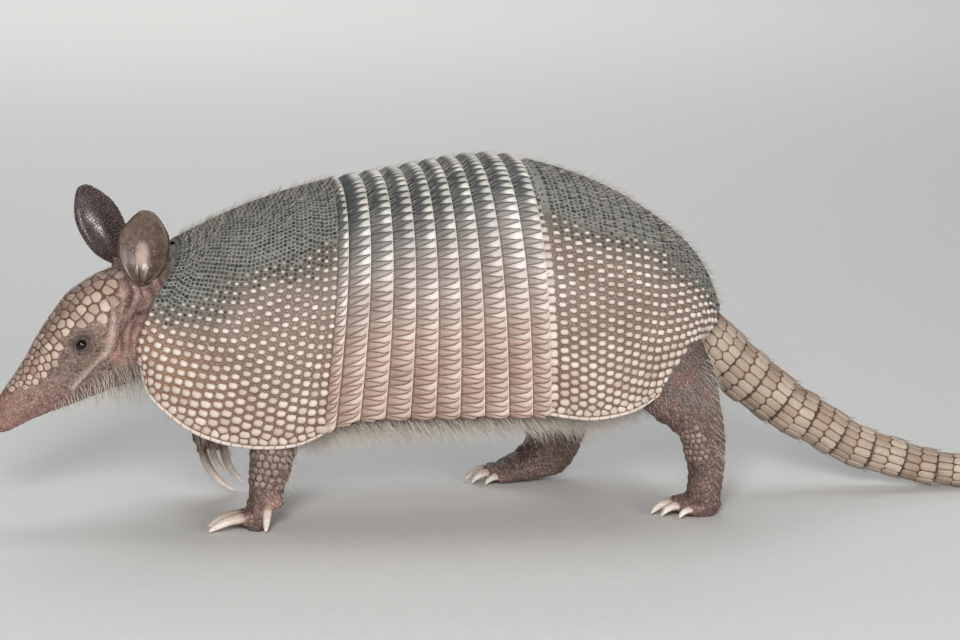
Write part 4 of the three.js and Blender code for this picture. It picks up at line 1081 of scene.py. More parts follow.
def sampled(p, chosen, radius, rng):
    """Well spread points out of the chosen ones, at least a radius apart."""
    order = rng.permutation(np.flatnonzero(chosen))
    size = float(np.max(radius))
    radius = np.broadcast_to(radius, (len(p),))
    taken, kept = {}, []
    keys = np.floor(p / size).astype(int)
    steps = [(a, b, c) for a in (-1, 0, 1) for b in (-1, 0, 1) for c in (-1, 0, 1)]
    for i in order:
        kx, ky, kz = keys[i]
        r2 = radius[i] ** 2
        x, y, z = p[i]
        around = (q for a, b, c in steps for q in taken.get((kx + a, ky + b, kz + c), ()))
        if all((u - x) ** 2 + (v - y) ** 2 + (w - z) ** 2 >= r2 for u, v, w in around):
            taken.setdefault((kx, ky, kz), []).append((x, y, z))
            kept.append(i)
    return np.array(kept, int)


def fused_flesh():
    """One closed skin round all the flesh, thinned out where the shell hides it and finer on the face."""
    source = flesh_source()
    mesh, _ = bare_mesh("work", np.concatenate(source.verts), source.faces)
    mesh.update(calc_edges=True)
    mesh.validate()
    mesh = modified(mesh, "REMESH", mode="VOXEL", voxel_size=0.0011)
    p = points_of(mesh)
    p = relaxed(p, edges_of(mesh), 1 - 0.8 * near_ears(p), 4)
    move_points(mesh, p)
    inner = hidden_by_shell(p, 14)
    mesh = modified(mesh, "DECIMATE", np.flatnonzero(inner), ratio=1 - 0.92 * inner.mean(),
                    vertex_group="hidden", vertex_group_factor=10.0)
    b = bmesh.new()
    b.from_mesh(mesh)
    for eye_reach, snout_from in ((9.5, 80), (7.0, 91)):
        b.verts.ensure_lookup_table()
        q = np.array([v.co[:] for v in b.verts]) * METRE
        h = to_head(q)
        near = (h[:, 0] > snout_from) & (np.abs(h[:, 1]) < 14) & (np.abs(h[:, 2]) < 30)
        for centre, n, *_ in EYE_AXES.values():
            near |= np.linalg.norm(q - centre - n * 2, axis=1) < eye_reach
        edges = [e for e in b.edges if near[e.verts[0].index] and near[e.verts[1].index]]
        bmesh.ops.subdivide_edges(b, edges=edges, cuts=1, use_grid_fill=True)
        bmesh.ops.triangulate(b, faces=[f for f in b.faces if len(f.verts) > 4])
    b.to_mesh(mesh)
    b.free()
    return mesh


def nostrils(p):
    along, side, up = to_head(p).T
    for sign in (-1, 1):
        d = np.hypot((side - sign * 3.3) / 1.15, (up + 3.6) / 1.35)
        depth = 2.4 * smooth(1.0, 0.35, d) - 0.35 * np.exp(-((d - 1.25) / 0.3) ** 2)
        p -= HEAD_AXES[0] * ((along > 93.5) * depth)[:, None]


def eyelids(p):
    """The skin with lids, rings and holes round the eyes, and how dark it is there."""
    dark = np.zeros(len(p))
    for centre, axis, t, o in EYE_AXES.values():
        d = p - centre
        z, x, y = d @ axis, d @ t, d @ o
        flat = np.hypot(x, y)
        rho = np.hypot(x / 3.05, (y - 0.1) / 2.45)
        near = (z > -1.5) & (flat < 10)
        ball = np.sqrt(np.maximum((EYE_RADIUS + 0.42) ** 2 - flat ** 2, 0.0))
        roll = 0.42 * np.exp(-((rho - 1.16) / 0.16) ** 2) + 0.22 * np.exp(-((rho - 1.62) / 0.14) ** 2)
        lid = mix(ball, z, smooth(2.9, 5.2, flat)) + roll
        ring = 0.24 * np.cos(2 * np.pi * (flat + 0.4 * noise3(p, 2.5, 7.0)) / 1.75) * smooth(3.0, 4.5, flat)
        target = mix(1.2 - 0.4 * rho, lid + ring * smooth(9.0, 6.0, flat), smooth(0.93, 1.06, rho))
        target = np.where(flat < 10, mix(target, z, smooth(6.0, 9.5, flat)), z)
        p = p + axis * (np.where(near, target - z, 0.0))[:, None]
        round_eye = (z > -6) & (flat < 16)
        dark = np.maximum(dark, np.where(round_eye, smooth(1.25, 0.6, np.hypot((x + 2.0) / 8.0, y / 5.8)), 0))
    return p, dark


def flesh():
    """Builds the skin with its ears, and gives its vertices, normals and masks for the scales and hair."""
    mesh = fused_flesh()
    p, n = points_of(mesh), normals_of(mesh)
    along, side, up = to_head(p).T
    ears, legs = near_ears(p), limb_mask(p)
    on_head = smooth(-16, -6, along) * (np.abs(side) < 30) * (up > -42) * (up < 32) * (1 - ears)
    p = relaxed(p, edges_of(mesh), 1.0 * (on_head > 0.5) * (ears < 0.05), 2)

    # folds and wrinkles
    neck = smooth(22, 8, along) * smooth(-46, -26, along) * (1 - ears) * (p[:, 0] < -120)
    warp = 3.5 * noise3(p, 16, 2.0) + 1.5 * noise3(p, 6, 4.0)
    fold = np.sin(2 * np.pi * (along * 0.80 + up * 0.62 + 0.8 * warp) / 5.0)
    fold2 = np.sin(2 * np.pi * (along * 0.5 - up * 0.8 + 1.4 * warp) / 7.5)
    move = neck * (0.75 * fold + 0.45 * fold2 - 0.3)
    crease = np.abs(noise3(p, 5.5, 8.0))
    move += (1 - neck) * (1 - ears) * (0.22 * noise3(p, 3.2, 1.0)
                                       - 0.25 * smooth(0.16, 0.0, crease) * on_head)
    belly = (1 - on_head) * (1 - ears) * (p[:, 0] > -160)
    move += belly * 0.45 * np.sin(2 * np.pi * (p[:, 0] + 4 * noise3(p, 14, 5.0)) / 6.5) * (1 - 0.6 * legs)
    move += legs * (0.9 * np.exp(-((p[:, 2] - 5.5) / 3.2) ** 2) - 1.0 * smooth(2.2, 0.0, p[:, 2]))
    joints = smooth(0.2, 1, legs) * np.abs(np.sin(np.pi * (p[:, 2] + 2.5 * noise3(p, 9, 6.0)) / 5.0)) ** 3
    move += -0.35 * joints * (p[:, 2] < 62)
    flanks = smooth(6, 11, np.abs(side)) * (1 - ears) * (p[:, 0] < -120)
    plane = np.stack([along + 0.5 * noise3(p, 5, 3.0), up + 0.5 * noise3(p, 5, 11.0)], 1)
    tones = {kind: np.zeros(len(p)) for kind in ("ridge", "crease", "raw", "plain")}
    for kind, line, width, height in FACE_FOLDS:
        at = np.exp(-(near_line(plane, line) / width) ** 2) * flanks
        move += height * at
        tones[kind] = np.maximum(tones[kind], at)
    low_mouth = -8.6 + (94 - along) * -0.13
    lip = np.exp(-((up - low_mouth) / 0.6) ** 2) * smooth(54, 62, along) * smooth(99, 96.5, along)
    move -= lip * 1.0
    p = p + n * move[:, None]
    nostrils(p)
    p, dark = eyelids(p)
    p[:, 2] = np.maximum(p[:, 2], SKIN_FLOOR)
    move_points(mesh, p)
    n = normals_of(mesh)

    # where the skin has which tones
    h = to_head(p)
    along, side, up = h.T
    snout = smooth(58, 84, along + 3 * noise3(p, 10, 1.5)) * (np.abs(side) < 20)
    low_snout = smooth(42, 66, along) * smooth(4, -6, up + 2 * noise3(p, 6)) * (np.abs(side) < 22)
    spot = np.exp(-(((along - 14) / 8) ** 2 + ((up + 10) / 8) ** 2)) * (np.abs(side) < 40)
    pink = np.clip(np.maximum(np.maximum(snout, 0.75 * low_snout), 1.0 * spot + 0.35 * neck), 0, 1)
    throat = smooth(-14, -24, up) * smooth(80, 60, along) * smooth(-40, -20, along) * (p[:, 0] < -130)
    under = (1 - on_head) * smooth(-150, -135, p[:, 0]) * (1 - legs)
    thigh = smooth(54, 66, p[:, 2]) * (p[:, 0] > 40) + smooth(36, 52, p[:, 2]) * (p[:, 0] < 0)
    collar = smooth(-163, -154, p[:, 0]) * smooth(96, 112, p[:, 2]) * (p[:, 0] < -100)
    blush = np.exp(-(np.linalg.norm(p - [-105.4, -54.5, 15.3], axis=1) / 5.8) ** 2)
    for _, end, *_ in (toe for toes in TOES.values() for toe in toes):
        blush = np.maximum(blush, 0.6 * np.exp(-(np.linalg.norm(p - np.array(end), axis=1) / 5.0) ** 2))
    nape = smooth(30, 18, along + 0.25 * up) * smooth(-46, -30, along) * (1 - ears) * (p[:, 0] < -118)
    nape = nape * smooth(-22, -14, up) * smooth(24, 17, up) * (np.abs(side) > 4)
    flush = np.exp(-(((along - 9) / 9) ** 2 + ((up + 7) / 10) ** 2))
    flush = flush * (np.abs(side) > 4) * (np.abs(side) < 40)
    # fold marks the troughs of the neck folds, which the skin finish darkens as painted shade
    masks = dict(tones, nape=nape, flush=flush * nape, blush=blush, collar=collar, ear=ears, thigh=thigh,
                 leg=legs * (1 - on_head), pink=pink, dark=dark, throat=throat, under=under,
                 fold=np.clip(0.5 - 0.5 * fold, 0, 1) ** 2.5 * neck)
    b = bmesh.new()
    b.from_mesh(mesh)
    bmesh.ops.triangulate(b, faces=b.faces)
    tris = np.array([[v.index for v in f.verts] for f in b.faces])
    b.free()
    soup = Soup()
    soup.add(p, [tris], **masks)
    for which in ("left", "right"):
        front, rear, (across, upward) = ear_grids(which)
        part = Soup()
        closed_grid(part, front, rear, outer_attrs=dict(across=across, upward=upward))
        facing = unit(np.array(EARS[which][2], float))
        q = part.verts[0] + 0.12 * noise3(part.verts[0], 3.0, 2.0)[:, None] * facing
        soup.add(q, part.faces, mat=1, **part.attrs[0][1])
    soup.build("skin", [MATERIALS["skin"], MATERIALS["ear"]], "skin",
               ["head", "neck", "trunk", "ear_left", "ear_right",
                *[f"{a}_{b}_{c}" for a in ("front", "hind") for b in ("leg", "foot")
                  for c in ("left", "right")]])
    return dict(masks, p=p, n=n, head=h, on_head=on_head)


# ---- eyes ----------------------------------------------------------------------------------------
def eye(side):
    centre, axis, t, o = EYE_AXES[side]
    soup = Soup()
    lat = np.concatenate([np.linspace(0, 60, 40), np.linspace(64, 180, 24)])
    lon = np.arange(48) * 7.5
    a, b = np.radians(lat)[:, None], np.radians(lon)[None]
    radius = EYE_RADIUS * (1 + 0.035 * smooth(44, 20, lat)[:, None] * np.ones_like(b))
    p = centre + radius[..., None] * (axis * np.cos(a)[..., None] + t * (np.sin(a) * np.cos(b))[..., None]
                                      + o * (np.sin(a) * np.sin(b))[..., None])
    soup.add(p.reshape(-1, 3), [grid_faces(len(lat), 48, wrap=True)], polar=np.repeat(lat, 48))
    soup.build(f"eye_{side}", [MATERIALS["eye"]], "eye", [f"eye_{side}"])


# ---- claws ---------------------------------------------------------------------------------------
CLAW_FLATNESS = {"front_left": 1.05}  # others are round, but for the little outer claw of this foot
CLAW_SHARE = {"front_left": 0.76, "front_right": 0.69}  # of the toe's radius


def claws(foot):
    soup = Soup()
    pair, side = foot.split("_")
    names = [f"{pair}_claw_{side}_{i + 1}" for i in range(len(TOES[foot]))]
    n = 32
    u = np.concatenate([np.linspace(-0.16, 0.9, 34), [0.93, 0.955, 0.975, 0.99, 0.998]])
    v = np.clip(u, 0, 1)
    swell = (0.12 if pair == "front" else 0) * np.sin(np.pi * v)
    end = np.sqrt(np.clip(1 - v ** 2.6 * 0.985, 0.002, 1))
    ang = turns(n)
    over = np.sin(ang)
    hollow = 0.18 * np.exp(-((ang - 1.5 * np.pi) / 0.5) ** 2)
    for i, (_, root, radius, tip, sag) in enumerate(TOES[foot]):
        flat = 0.8 if (foot, i) == ("front_left", 3) else CLAW_FLATNESS.get(foot, 1.0)
        a, b, across, up = horn_frame(root, tip)
        radii = radius * CLAW_SHARE.get(foot, 0.67) * mix(1.0, 0.80, smooth(0, 0.5, v)) * (1 + swell) * end
        middle = a + (b - a) * u[:, None] + up * (sag * 4 * u * (1 - u))[:, None]
        wide = np.cos(ang) * flat
        tall = np.where(over > 0, over, over * 0.72) / flat
        ridge = 1 + 0.02 * np.sin(ang * 9 + i)
        rings = (middle[:, None] + across * (radii[:, None] * (wide * ridge)[None])[..., None]
                 + up * (radii[:, None] * ((tall + hollow) * ridge)[None])[..., None])
        rings = rings + 0.03 * noise3(rings, 0.8, i)[..., None]
        verts = np.concatenate([rings.reshape(-1, 3), rings[0].mean(0)[None], rings[-1].mean(0)[None]])
        verts[:, 2] = np.maximum(verts[:, 2], SKIN_FLOOR)
        faces = [grid_faces(len(u), n, wrap=True, flip=True), *[f[:, [0, 2, 1]] for f in end_fans(len(u), n)]]
        soup.add(verts, faces, reach=np.concatenate([np.repeat(u, n), [0, 1]]))
    soup.build(f"claws_{foot}", [MATERIALS["claw"]], "claw", names)


# ---- scales and hair on the skin -----------------------------------------------------------------
def unwrap(p):
    """A place on the unwrapped body for each root."""
    around = np.arctan2(p[:, 1], p[:, 2] - 95) / (2 * np.pi) + 0.5
    along = (p[:, 0] + 290) / 740
    return np.stack([0.02 + 0.96 * along, 0.02 + 0.96 * around], 1)


def leg_rows(body, name, t0, t1, pitch, arc):
    """Vertices of the body in rows round a leg, over an arc to each side of its front."""
    shape = through(LEGS[name])
    t = np.linspace(t0, t1, 60)
    run = run_along(shape(t)[:, :3])
    rows = np.interp(np.arange(0.5, run[-1] / pitch) * pitch, run, t)
    near = np.flatnonzero((body["leg"] > 0.5) & ~hidden_by_shell(body["p"], 6))
    found = []
    for r, at in enumerate(rows):
        k = shape(np.array(at))
        tangent = unit(shape(np.array(min(at + 0.01, t1)))[:3] - shape(np.array(at - 0.01))[:3])
        side = unit(np.array([0, 1.0, 0]) - tangent * tangent[1])
        front = np.cross(side, tangent)
        if front[0] > 0:
            front = -front
        count = int(round(2 * np.pi * (k[3] + k[4]) / 2 / pitch))
        for a in turns(count, 0.5 * (r % 2)):
            a = (a + np.pi) % (2 * np.pi) - np.pi
            if abs(a) < arc:
                spot = k[:3] + front * k[3] * np.cos(a) + side * k[4] * np.sin(a)
                d = np.linalg.norm(body["p"][near] - spot, axis=1)
                if d.min() < 2.2:
                    found.append(near[d.argmin()])
    return np.unique(found)


def skin_scales(name, body, chosen, pitch, height, seed, keys, lie, first=None):
    """Small scales over chosen parts of the skin, round any that were placed first."""
    rng = np.random.default_rng(seed)
    if first is None:
        index = sampled(body["p"], chosen, pitch, rng)
        square = np.zeros(len(index))
    else:
        spots = np.flatnonzero(chosen)
        _, d = neighbours(body["p"][spots], body["p"][first], 1, skip_self=False)
        free = np.zeros(len(chosen), bool)
        free[spots[d[:, 0] > 2.6]] = True
        index = np.concatenate([first, sampled(body["p"], free, pitch, rng)])
        square = (np.arange(len(index)) < len(first)) * 1.0
    p, n = body["p"][index], body["n"][index]
    size = np.where(square > 0, 3.3, pitch)
    lie = unit(np.array(lie, float))
    tangent = unit(lie - n * (n @ lie)[:, None] + 1e-6)
    reach, phi, *_ = cells(p, n, tangent, p, 8, 0.0, size * 0.72, k=8, power=10)
    soup = Soup()
    tiles(soup, p, n, tangent, reach - 0.11, phi, [(1.0, -0.4, 0.0), (0.78, 0.65, 0.8)], 0.92,
          height * size * (1 + rng.normal(0, 0.1, len(p))), 1.0, unwrap(p), rnd=rng.random(len(p)), skew=0.06,
          square=square, **{k: body[k][index] for k in keys})
    soup.build(name, [MATERIALS["scale"]], "skin", with_uv=True)


def ear_pebbles():
    """Small flat pebbles that cover the backs of both ears."""
    rng = np.random.default_rng(83)
    soup = Soup()
    for side in ("left", "right"):
        _, rear, (across, upward) = ear_grids(side, 90, 80)
        faces = np.array(EARS[side][2], float)
        du, dv = np.gradient(rear, axis=1), np.gradient(rear, axis=0)
        normal = unit(np.cross(du, dv))
        normal = normal * np.sign(-(normal @ faces))[..., None]
        p, n = rear.reshape(-1, 3), normal.reshape(-1, 3)
        chosen = (np.abs(across).ravel() < 0.985) & (upward.ravel() > 0.03) & (upward.ravel() < 0.985)
        index = sampled(p, chosen, 1.15, rng)
        p, n = p[index], n[index]
        up = unit(np.array(EARS[side][1], float) - np.array(EARS[side][0], float))
        tangent = unit(up - n * (n @ up)[:, None])
        reach, phi, *_ = cells(p, n, tangent, p, 7, 0.0, 0.8, k=8, power=10)
        tiles(soup, p, n, tangent, reach - 0.09, phi, [(1.0, -0.4, 0.0), (0.72, 0.75, 0.9)], 0.95,
              0.36 * (1 + rng.normal(0, 0.15, len(p))), 1.0, unwrap(p), rnd=rng.random(len(p)), pebble=1.0)
    soup.build("scales_ears", [MATERIALS["ear"]], "ear", with_uv=True)


def strands(soup, root, way, length, radius, bend, rng, uv, segments=4, **attrs):
    """Thin tapered hairs from their roots, three sides each."""
    n = len(root)
    way, bend = unit(way), np.broadcast_to(bend, (n, 3))
    side = unit(np.cross(way, unit(rng.normal(size=(n, 3)))))
    other = np.cross(way, side)
    u = np.linspace(0, 1, segments + 1)
    middle = (root[:, None] + way[:, None] * (np.reshape(length, (-1, 1)) * u)[..., None]
              + bend[:, None] * (np.reshape(length, (-1, 1)) * u ** 2)[..., None])
    ang = turns(3)
    r = np.reshape(radius, (-1, 1)) * (1 - 0.9 * u[None] ** 1.5)
    ring = (side[:, None, None] * np.cos(ang)[None, None, :, None]
            + other[:, None, None] * np.sin(ang)[None, None, :, None])
    p = middle[:, :, None] + ring * r[..., None, None]
    per = (segments + 1) * 3
    j = np.arange(3)
    k = (j + 1) % 3
    quads = np.concatenate([np.stack([i * 3 + j, i * 3 + k, i * 3 + 3 + k, i * 3 + 3 + j], 1)
                            for i in range(segments)])
    cap = np.array([[segments * 3, segments * 3 + 1, segments * 3 + 2]])
    base = (np.arange(n) * per)[:, None, None]
    around = np.stack([np.cos(ang), np.sin(ang)], 1) * 0.0014
    spot = np.repeat(uv[:, None], per, 1) + np.concatenate(
        [around * (1 - 0.8 * i / segments) for i in range(segments + 1)])[None]
    full = {key: np.repeat(np.broadcast_to(v, (n,)), per) for key, v in attrs.items()}
    soup.add(p.reshape(-1, 3), [(quads[None] + base).reshape(-1, 4), (cap[None] + base).reshape(-1, 3)],
             uv=spot.reshape(-1, 2), reach=np.tile(np.repeat(u, 3), n), **full)


def shell_hair():
    """Fine hairs that grow between the scutes and from under the bands' rear edges."""
    rng = np.random.default_rng(71)
    soup, shields = Soup(), Soup()
    count = 170
    for s1 in edges[1:]:
        arc = ((np.arange(count) + rng.random(count)) / count * 2 - 1) * half_length(s1) * 0.985
        s = np.full(count, s1 - 0.0012)
        ang = angle_at(s, arc)
        p, along, around, normal = shell_frame(s, ang)
        p = p - normal * 0.9
        back_zone = smooth(85, 45, np.abs(ang))
        way = along + normal * (0.28 + 0.50 * back_zone * rng.random(count))[:, None]
        way = way + around * (rng.normal(0, 0.22, count))[:, None]
        length = mix(2.6, 4.6, back_zone) * (0.65 + 0.7 * rng.random(count))
        strands(soup, p, way, length, 0.10 + 0.04 * rng.random(count), normal * 0.18, rng,
                unwrap(p), segments=3, grey=mix(0.35, 0.2, rng.random(count)))
    for s0, s1, amount in ((0.01, 0.292, 3600), (0.64, 0.985, 4200)):
        s = s0 + (s1 - s0) * rng.random(amount)
        ang = angle_at(s, half_length(s) * (2 * rng.random(amount) - 1))
        p, along, around, normal = shell_frame(s, ang)
        zone = dorsal(s, ang, p)
        keep = rng.random(amount) < 0.05 + 0.75 * zone
        p, along, around, normal, zone = (v[keep] for v in (p, along, around, normal, zone))
        m = len(p)
        way = (along + normal * (0.40 + 0.55 * rng.random(m))[:, None]
               + around * rng.normal(0, 0.25, m)[:, None])
        strands(shields, p - normal * 0.4, way, (2.6 + 2.7 * zone) * (0.6 + 0.8 * rng.random(m)),
                0.115 + 0.04 * rng.random(m), normal * 0.1, rng, unwrap(p), segments=3,
                grey=mix(0.15, 0.75, rng.random(m)))
    shields.build("hair_shields", [MATERIALS["hair"]], "skin", with_uv=True)
    for i in range(1, TAIL_RINGS):
        t = np.full(64, i * RINGED_LENGTH / TAIL_RINGS - 0.6)
        p, tangent, out = tail_frame(t, rng.random(64) * 2 * np.pi, -0.4)
        keep = p[:, 2] > 2.5
        p, tangent, out = p[keep], tangent[keep], out[keep]
        m = len(p)
        way = tangent + out * (0.1 + 0.4 * rng.random(m))[:, None]
        strands(soup, p, way, 2.8 + 2.6 * rng.random(m), 0.10, out * 0.03, rng, unwrap(p), segments=3,
                grey=0.5 + 0.4 * rng.random(m))
    soup.build("hair_shell", [MATERIALS["hair"]], "skin", with_uv=True)


def body_hair(body):
    rng = np.random.default_rng(72)
    soup = Soup()
    p, n, h = body["p"], body["n"], body["head"]
    down = np.array([0, 0, -1.0])

    def patch(chosen, spacing, length, way, lift, bend, radius, grey):
        index = sampled(p, chosen, spacing, rng)
        m = len(index)
        q, nn = p[index], n[index]
        way = unit(np.asarray(way, float))
        flat = way - nn * (nn @ way)[:, None]
        to = unit(flat + nn * lift + rng.normal(0, 0.16, (m, 3)))
        size = np.broadcast_to(length, (len(p),))[index] * (0.6 + 0.75 * rng.random(m))
        strands(soup, q - nn * 0.3, to, size, radius * (0.8 + 0.4 * rng.random(m)), bend, rng, unwrap(q),
                grey=np.clip(grey + rng.normal(0, 0.12, m), 0, 1))

    along, _, up = h.T
    throat = (up < -11) & (along > -34) & (along < 66) & (n @ HEAD_AXES[2] < -0.15) & (p[:, 0] < -140)
    patch(throat, 1.7, 5.0 + 8.5 * smooth(62, 15, along), (0.30, 0, -1.0), 0.5, down * 0.25, 0.15, 0.05)
    under = (body["under"] > 0.5) & (n[:, 2] < 0.25) & ~hidden_by_shell(p, 2) & (p[:, 0] > -150)
    patch(under, 2.3, 5 + 7 * smooth(-112, -88, p[:, 0]), (0.8, 0, -0.7), 0.32, down * 0.22, 0.13, 0.1)
    soup.build("hair_throat", [MATERIALS["hair"]], "skin", with_uv=True)
    soup = Soup()
    edge = (body["under"] > 0.3) & ~hidden_by_shell(p, -1) & hidden_by_shell(p, -9) & (p[:, 0] > -150)
    patch(edge, 1.3, 5 + 7 * smooth(-112, -88, p[:, 0]), (0.55, 0, -0.9), 0.40, down * 0.18, 0.13, 0.08)
    legs = (body["leg"] > 0.6) & ~hidden_by_shell(p, 0) & (p[:, 2] > 12)
    patch(legs & (body["thigh"] < 0.5), 4.2, 4.5, (0.5, 0, -1.0), 0.30, down * 0.1, 0.10, 0.3)
    patch(legs & (body["thigh"] >= 0.5), 1.9, 5.0, (0.7, 0, -0.9), 0.35, down * 0.25, 0.085, 0.12)
    behind = (body["leg"] > 0.2) & (n[:, 0] > 0.2) & (p[:, 2] > 24) & ~hidden_by_shell(p, 0)
    patch(behind, 2.4, 8.5, (0.9, 0, -0.8), 0.40, down * 0.25, 0.12, 0.2)
    face = (body["on_head"] > 0.6) & (along < 88) & (up < 14) & (body["dark"] < 0.2)
    patch(face, 3.6, 2.4, (0.9, 0, -0.3), 0.25, down * 0.05, 0.07, 0.35)
    nape = (along < 10) & (p[:, 0] < -130) & (up > -16) & (body["ear"] < 0.1) & ~hidden_by_shell(p, 6)
    patch(nape, 2.6, 3.4, (1.0, 0, -0.2), 0.3, down * 0.05, 0.08, 0.3)
    soup.build("hair_body", [MATERIALS["hair"]], "skin", with_uv=True)


# ---- materials -----------------------------------------------------------------------------------
def srgb(*tone):
    linear = ((c / 255 / 12.92) if c <= 10.3 else ((c / 255 + 0.055) / 1.055) ** 2.4 for c in tone)
    return (*linear, 1.0)


class Finish:
    """A procedural material, built up by small steps. Tones are red, green and blue, from 0 to 255."""

    def __init__(self, name):
        self.mat = bpy.data.materials.new(name)
        self.mat.use_nodes = True
        self.tree = self.mat.node_tree
        self.tree.nodes.clear()
        self.out = self.node("OutputMaterial")
        self.shader = self.node("BsdfPrincipled")
        self.tree.links.new(self.shader.outputs[0], self.out.inputs[0])
        self.where = self.node("TexCoord").outputs["Object"]

    def node(self, kind, **values):
        node = self.tree.nodes.new("ShaderNode" + kind)
        for name, value in values.items():
            setattr(node, name, value)
        return node

    def link(self, value, socket):
        if isinstance(value, bpy.types.NodeSocket):
            self.tree.links.new(value, socket)
        else:
            socket.default_value = srgb(*value) if isinstance(value, tuple) else value

    def attr(self, name):
        return self.node("Attribute", attribute_name=name).outputs["Fac"]

    def attrs(self, *names):
        return [self.attr(name) for name in names]

    def noise(self, size, detail=3.0, stretch=None):
        """Noise of a feature size in millimetres, from 0 to 1."""
        where = self.where
        if stretch:
            mapping = self.node("Mapping")
            mapping.inputs["Scale"].default_value = stretch
            self.link(where, mapping.inputs["Vector"])
            where = mapping.outputs[0]
        node = self.node("TexNoise")
        self.link(where, node.inputs["Vector"])
        node.inputs["Scale"].default_value = METRE / size
        node.inputs["Detail"].default_value = detail
        node.inputs["Roughness"].default_value = 0.55
        return node.outputs["Fac"]

    def cell(self, size, feature="F1"):
        node = self.node("TexVoronoi", feature=feature)
        self.link(self.where, node.inputs["Vector"])
        node.inputs["Scale"].default_value = METRE / size
        return node.outputs["Distance"]

    def math(self, operation, a, b=0.0):
        node = self.node("Math", operation=operation)
        self.link(a, node.inputs[0])
        self.link(b, node.inputs[1])
        return node.outputs[0]

    def times(self, a, b):
        return self.math("MULTIPLY", a, b)

    def plus(self, a, b):
        return self.math("ADD", a, b)

    def span(self, value, a, b, lo=0.0, hi=1.0):
        """The value's smooth step from a to b, as lo to hi."""
        node = self.node("MapRange", interpolation_type="SMOOTHSTEP")
        for v, key in ((value, "Value"), (a, "From Min"), (b, "From Max"), (lo, "To Min"), (hi, "To Max")):
            self.link(v, node.inputs[key])
        return node.outputs[0]

    def mix(self, fac, a, b, blend="MIX"):
        node = self.node("Mix", data_type="RGBA", blend_type=blend)
        for number, value in ((0, fac), (6, a), (7, b)):
            self.link(value, node.inputs[number])
        return node.outputs[2]

    def over(self, colour, mask, share, tone, blend="MIX"):
        """The colour with a share of a tone laid over it where the mask is."""
        return self.mix(self.times(mask, share), colour, tone, blend)

    def ragged(self, value, fine, amount):
        """A value with its edges roughened by fine noise."""
        return self.plus(value, self.times(self.math("SUBTRACT", fine, 0.5), amount))

    def bump(self, height, distance, strength):
        node = self.node("Bump")
        node.inputs["Strength"].default_value = strength
        node.inputs["Distance"].default_value = distance * MM
        self.link(height, node.inputs["Height"])
        return node.outputs[0]

    def done(self, colour, roughness, normal, specular=0.5):
        for value, key in ((colour, "Base Color"), (roughness, "Roughness"), (normal, "Normal"),
                           (specular, "Specular IOR Level")):
            self.link(value, self.shader.inputs[key])
        return self.mat


